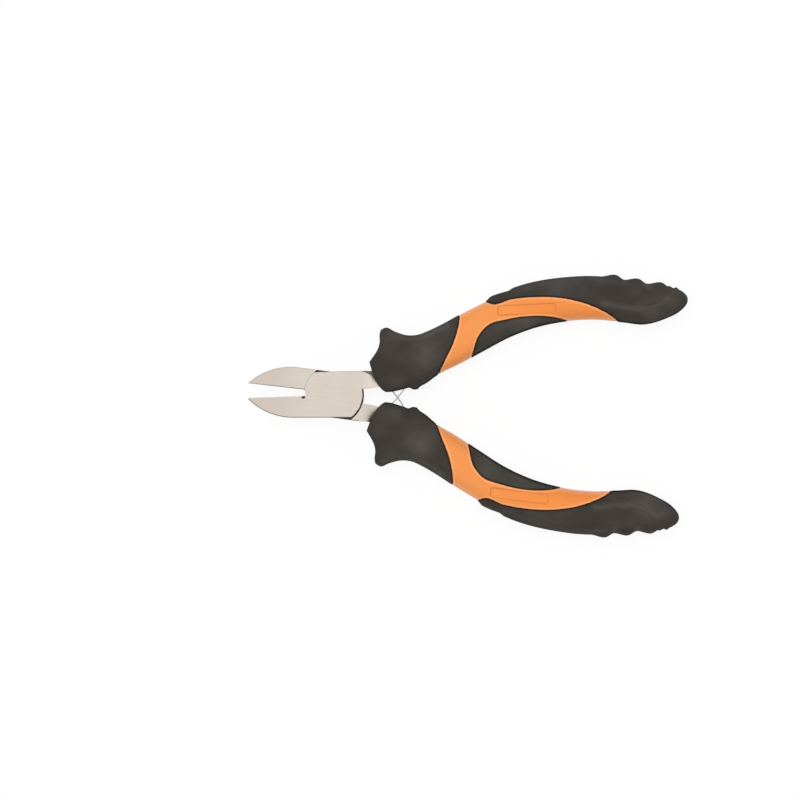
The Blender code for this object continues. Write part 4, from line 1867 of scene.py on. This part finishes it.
@dataclass
class Grip:
    """Two-colour grip: an orange core with a black guard, inlay and sleeve moulded over it."""

    plan: GripPlan
    tang: TangPlan
    marks: MouldingLightMarks = MouldingLightMarks()
    skin: float = 1.8
    seam: float = 0.05
    pin_room: float = 0.8
    core_sink: float = 0.12
    # Mesh width of each moulding's skin, and the rounds that it is relaxed.
    voxels: tuple[tuple[Moulding, float, int], ...] = (
        (Moulding.CORE, 0.25, 6), (Moulding.GUARD, 0.2, 7),
        (Moulding.INLAY, 0.13, 12), (Moulding.SLEEVE, 0.2, 7),
    )
    # First and last place of the pressed panel along the grip, then across it.
    panel: tuple[float, float, float, float] = (47.7, 64.5, 20.4, 23.5)
    panel_corner: float = 0.8
    panel_border: float = 0.4
    panel_depth: float = 0.25
    flow: tuple[Point, ...] = ((76.0, 17.0), (81.0, 18.9), (89.1, 21.4), (95.0, 22.6), (99.5, 23.2))
    flow_run: float = 1.3
    flow_depth: float = 0.55
    flow_fade: float = 4.0
    # Place, radius and strength of each spot of painted sheen.
    sheen_places: tuple[tuple[float, float, float, float], ...] = (
        (26.2, 10.6, 5.0, 0.6), (18.1, 3.0, 2.4, 0.45), (19.0, 15.6, 2.6, 0.4), (92.5, 20.3, 3.8, 0.5),
        (97.0, 21.8, 2.6, 0.45), (84.3, 28.7, 1.3, 0.55), (91.1, 27.5, 1.3, 0.55),
        (56.0, 18.0, 6.0, 0.6), (47.0, 14.5, 5.0, 0.45), (67.0, 27.6, 8.0, 0.25),
    )
    # Width, strength and line of each streak of painted sheen.
    sheen_streaks: tuple[tuple[float, float, tuple[Point, ...]], ...] = (
        (0.9, 0.6, ((78.0, 22.6), (84.8, 21.1), (89.1, 20.9), (93.0, 21.6), (96.4, 23.2))),
        (0.9, 0.5, ((16.6, 17.0), (18.8, 16.0), (22.0, 14.9), (24.8, 15.0), (27.8, 15.9), (33.5, 18.6))),
        (0.9, 0.35, ((53.0, 26.9), (58.0, 28.2), (67.0, 29.7), (76.0, 29.7), (82.0, 28.9))),
    )

    def build(self) -> dict[Moulding, bpy.types.Object]:
        """Make the four mouldings in the closed frame.

        Returns:
            The mouldings.
        """
        plan = self.plan
        rooms = [self.tang.cavity(), self.tang.slot(), self.pin_hole()]
        core = plan.inner_sleeve("core", self.skin)
        band = plan.form("band", self.core_sink)
        pieces = {Moulding.CORE: core}
        bore = plan.inner_sleeve("bore", self.skin - self.seam)
        for moulding in (Moulding.GUARD, Moulding.INLAY, Moulding.SLEEVE):
            Bench.combine(band, "DIFFERENCE", plan.zone(moulding, 0.0))
            piece = plan.form(moulding.value, 0.0, ridged=moulding is Moulding.SLEEVE)
            Bench.combine(piece, "INTERSECT", plan.zone(moulding, self.seam))
            Bench.combine(piece, "DIFFERENCE", bore, keep=True)
            pieces[moulding] = piece
        Bench.combine(core, "UNION", band)
        for moulding in (Moulding.CORE, Moulding.GUARD):
            Bench.combine(pieces[moulding], "DIFFERENCE", *rooms, keep=True)
        for tool in rooms + [bore]:
            Bench.discard(tool)
        for moulding, voxel, rounds in self.voxels:
            Bench.soften(pieces[moulding], voxel, rounds)
        Bench.move_corners(core, self.press_panel)
        Bench.move_corners(pieces[Moulding.SLEEVE], self.press_flow)
        for moulding, piece in pieces.items():
            self.mark_shade_sheen_and_panel(moulding, piece)
        return pieces

    def pin_hole(self) -> bpy.types.Object:
        """Hole that the spring pin sits in."""
        half = self.tang.slot_half_width + self.pin_room
        return Bench.bar("pin_hole", self.tang.pin_diameter / 2 + self.tang.pin_clearance, LAP_PLANE - half,
                         LAP_PLANE + half, self.tang.pin_place(), PIN_SIDES)

    def press_panel(self, places: np.ndarray) -> np.ndarray:
        """Shift that presses a bare shallow panel into both faces of the orange band.

        Args:
            places: Corners of the band.

        Returns:
            Shift of each corner.
        """
        share = self.panel_share(places)
        lift = places[:, 2] - LAP_PLANE
        face = np.abs(lift) > self.plan.belly_depth / 4
        shift = np.zeros_like(places)
        shift[:, 2] = -np.sign(lift) * self.panel_depth * share * face
        return shift

    def panel_share(self, places: np.ndarray) -> np.ndarray:
        """How far inside the panel's border each corner lies: 0 outside, 1 inside.

        Args:
            places: Corners of a moulding.

        Returns:
            Share of each corner.
        """
        first, last, low, high = self.panel
        middle = np.array(((first + last) / 2, (low + high) / 2))
        half = np.array(((last - first) / 2, (high - low) / 2)) - self.panel_corner
        beyond = np.maximum(np.abs(places[:, :2] - middle) - half, 0.0)
        inside = (self.panel_corner - np.hypot(beyond[:, 0], beyond[:, 1])) / self.panel_border
        return soft_step(inside)

    def press_flow(self, places: np.ndarray) -> np.ndarray:
        """Shift that sets the butt's inner part down behind a soft flow line.

        Args:
            places: Corners of the sleeve.

        Returns:
            Shift of each corner.
        """
        line = np.array(smooth(self.flow, SEAM_STEPS))
        below = np.interp(places[:, 0], line[:, 0], line[:, 1]) - places[:, 1]
        fade = np.clip((places[:, 0] - self.flow[0][0]) / self.flow_fade, 0.0, 1.0)
        fade *= np.clip((self.flow[-1][0] - places[:, 0]) / self.flow_fade, 0.0, 1.0)
        share = soft_step(below / self.flow_run + 0.5)
        lift = places[:, 2] - LAP_PLANE
        face = np.clip(np.abs(lift) - self.plan.heel_depth / 4, 0.0, 1.0)
        shift = np.zeros_like(places)
        shift[:, 2] = -np.sign(lift) * self.flow_depth * share * fade * face
        return shift

    @staticmethod
    def distance(places: np.ndarray, *lines: Sequence[Point]) -> np.ndarray:
        """Distance in plan from each corner to the nearest of some smooth lines.

        Args:
            places: Corners of a moulding.
            lines: Points of each line.

        Returns:
            Distance of each corner.
        """
        nearest = np.full(len(places), np.inf)
        for line in lines:
            path = np.array(smooth(line, SEAM_STEPS))
            for start, end in zip(path, path[1:]):
                run = end - start
                share = np.clip((places[:, :2] - start) @ run / (run @ run), 0.0, 1.0)
                away = places[:, :2] - start - share[:, None] * run
                nearest = np.minimum(nearest, np.hypot(away[:, 0], away[:, 1]))
        return nearest

    def mark_shade_sheen_and_panel(self, moulding: Moulding, piece: bpy.types.Object) -> None:
        """Mark a moulding's painted shade or painted highlight on its edges and seams, the line along its
        panel's border, and its painted sheen.

        Args:
            moulding: Which moulding it is.
            piece: The moulding in its closed frame.
        """
        marks = self.marks
        places = Bench.corners(piece)
        normals = Bench.corners(piece, "normal")
        seam = self.distance(places, self.plan.guard_seam, self.plan.inlay_seam, self.plan.sleeve_seam)
        lean = np.abs(normals[:, 2])
        if moulding is Moulding.CORE:
            # On the core: painted highlight on the rounded sides and in a line beside the seams.
            side = marks.core_side * soft_step((marks.core_lean - lean) / marks.core_run)
            rim = np.maximum(side, bell((seam - marks.core_seam_place) / marks.core_seam_width))
        else:
            # On the black mouldings: painted shade on steep sides, most on the inner side, and beside the
            # seams.
            inner = np.clip(marks.side_tilt - normals[:, 1], marks.side_least, 1.0)
            side = soft_step((marks.side_lean - lean) / marks.side_run) * inner
            rim = np.maximum(side, marks.seam * bell(seam / marks.seam_width))
        panel = self.panel_share(places)
        # Painted sheen on the rounded inner side, in listed spots and along listed streaks.
        rubbed = marks.inner * soft_step((marks.inner_sheen_lean - lean) / marks.inner_sheen_run)
        rubbed = rubbed * np.clip(-normals[:, 1], 0.0, 1.0)
        for x, y, radius, strength in self.sheen_places:
            away = np.hypot(places[:, 0] - x, places[:, 1] - y) / radius
            rubbed = np.maximum(rubbed, strength * bell(away))
        for width, strength, line in self.sheen_streaks:
            rubbed = np.maximum(rubbed, strength * bell(self.distance(places, line) / width))
        for name, values in (("rim", rim), ("rubbed", rubbed), ("pressed", 4 * panel * (1 - panel))):
            mark = piece.data.attributes.new(name, "FLOAT", "POINT")
            mark.data.foreach_set("value", values.astype(np.float32))

    def dress(self, black: Finish, orange: Finish) -> None:
        """Build one grip, then place and finish it on both handles.

        Args:
            black: Finish of the soft mouldings.
            orange: Finish of the core.
        """
        for moulding, piece in self.build().items():
            for side in Side:
                item = Bench.copy(piece, f"{side.value}_{moulding.value}_moulding")
                item.data.transform(side.placing())
                finish = orange if moulding is Moulding.CORE else black
                hand_over(item, side.handle, f"{side.value}_{moulding.value}", finish)
            Bench.discard(piece)


@dataclass
class Studio:
    """White floor, soft light and a camera straight above."""

    tilt: float = math.radians(2.3)
    view_width: float = 0.23005
    view_centre: Point = (0.0190, -0.00067)
    height: float = 0.6
    sensor: float = 36.0
    world_light: float = 0.5
    horizon: float = 0.12
    horizon_height: float = 0.1
    open_height: float = 0.7
    key_power: float = 27.0
    key_size: float = 1.2
    key_place: tuple[float, float, float] = (-0.25, 0.3, 2.0)
    floor_size: float = 4.0
    floor_white: float = 0.97
    shadow_share: float = 0.1

    def camera(self) -> None:
        """Camera straight above, turned a little about its axis."""
        Bench.take()
        level = LAP_PLANE * MILLIMETRE
        bpy.ops.object.camera_add(location=(*self.view_centre, level + self.height),
                                  rotation=(0.0, 0.0, self.tilt))
        camera = bpy.context.object
        camera.name = "camera"
        camera.data.sensor_width = self.sensor
        camera.data.lens = self.sensor * self.height / self.view_width
        bpy.context.scene.camera = camera

    def lamp(self) -> None:
        """Large soft lamp high up on the left, which metal doesn't mirror."""
        Bench.take()
        bpy.ops.object.light_add(type="AREA", location=self.key_place)
        lamp = bpy.context.object
        lamp.name = "soft_key"
        lamp.data.energy = self.key_power
        lamp.data.size = self.key_size
        lamp.rotation_euler = (-Vector(self.key_place)).to_track_quat("-Z", "Y").to_euler()
        lamp.visible_glossy = False

    def world(self) -> None:
        """White room: white where it is seen, greyer towards the horizon in reflections."""
        world = bpy.data.worlds.new("white_room")
        bpy.context.scene.world = world
        sheet = Sheet(world)
        way = sheet.add("ShaderNodeSeparateXYZ", None,
                        {0: sheet.wire(sheet.add("ShaderNodeTexCoord"), "Generated")})
        stops = ((self.horizon_height, self.horizon), (self.open_height, 1.0))
        height = sheet.ramp(sheet.wire(way, "Z"), stops)
        rays = sheet.add("ShaderNodeLightPath")
        gloss = sheet.wire(rays, "Is Glossy Ray")
        strength = self.world_light + (1 - self.world_light) * sheet.shows_background()
        sheet.feed(sheet.tree.nodes["Background"],
                   {"Color": (1.0, 1.0, 1.0, 1.0), "Strength": strength * (1 - gloss * (1 - height))})

    def floor(self) -> None:
        """White floor that keeps a faint shadow."""
        Bench.take()
        low = min(corner[2] for corner in CAD_BOX)
        bpy.ops.mesh.primitive_plane_add(size=self.floor_size, location=(0.0, 0.0, low))
        floor = Bench.started("floor")
        bpy.ops.object.transform_apply(location=True, rotation=True, scale=True)
        material = bpy.data.materials.new("white_floor")
        sheet = Sheet(material)
        sheet.tree.nodes.remove(sheet.tree.nodes["Principled BSDF"])
        grey = (self.floor_white, self.floor_white, self.floor_white, 1.0)
        lit = sheet.wire(sheet.add("ShaderNodeBsdfDiffuse", None, {"Color": grey}))
        white = sheet.wire(sheet.add("ShaderNodeEmission"))
        share = (1 - self.shadow_share) * sheet.shows_background()
        mix = sheet.wire(sheet.add("ShaderNodeMixShader", None, {0: share, 1: lit, 2: white}))
        sheet.feed(sheet.tree.nodes["Material Output"], {"Surface": mix})
        floor.data.materials.append(material)

    def build(self) -> None:
        """Set up the view."""
        bpy.context.scene.view_settings.view_transform = "Standard"
        self.camera()
        self.lamp()
        self.world()
        self.floor()


def main() -> None:
    """Build and finish every piece, then set up the view."""
    logging.basicConfig(level=logging.INFO, format="%(name)s: %(message)s")
    steel = SatinSteel().paint()
    spring_steel = SpringSteel().paint()
    black = SoftBlack().paint()
    orange = HardOrange().paint()
    plan = GripPlan()
    tang = TangPlan(plan)
    front = JawGrind(half_width=6.0, tip_width=0.2, tip_inset=0.2, edge_rise=0.3, bevel_throat=0.35,
                     bevel_tip=0.06, edge_line=0.0, heel_inset=0.24, heel_flare=0.12, shoulder_rise=0.25)
    rear = JawGrind(half_width=6.6, tip_width=0.5, tip_inset=0.0, edge_rise=-0.3, bevel_throat=0.30,
                    bevel_tip=0.06, edge_line=0.12, heel_inset=-0.05, heel_flare=0.0, shoulder_rise=0.0)
    SteelHalf(tang, Side.UPPER, front).dress(steel)
    SteelHalf(tang, Side.LOWER, rear).dress(steel)
    PivotRivet().dress(steel)
    SpringPin(tang).dress(steel)
    LeafSpring(tang, Side.UPPER, thickness=0.26).dress(spring_steel)
    LeafSpring(tang, Side.LOWER, thickness=0.35).dress(spring_steel)
    Grip(plan, tang).dress(black, orange)
    Studio().build()


if __name__ == "__main__":
    main()
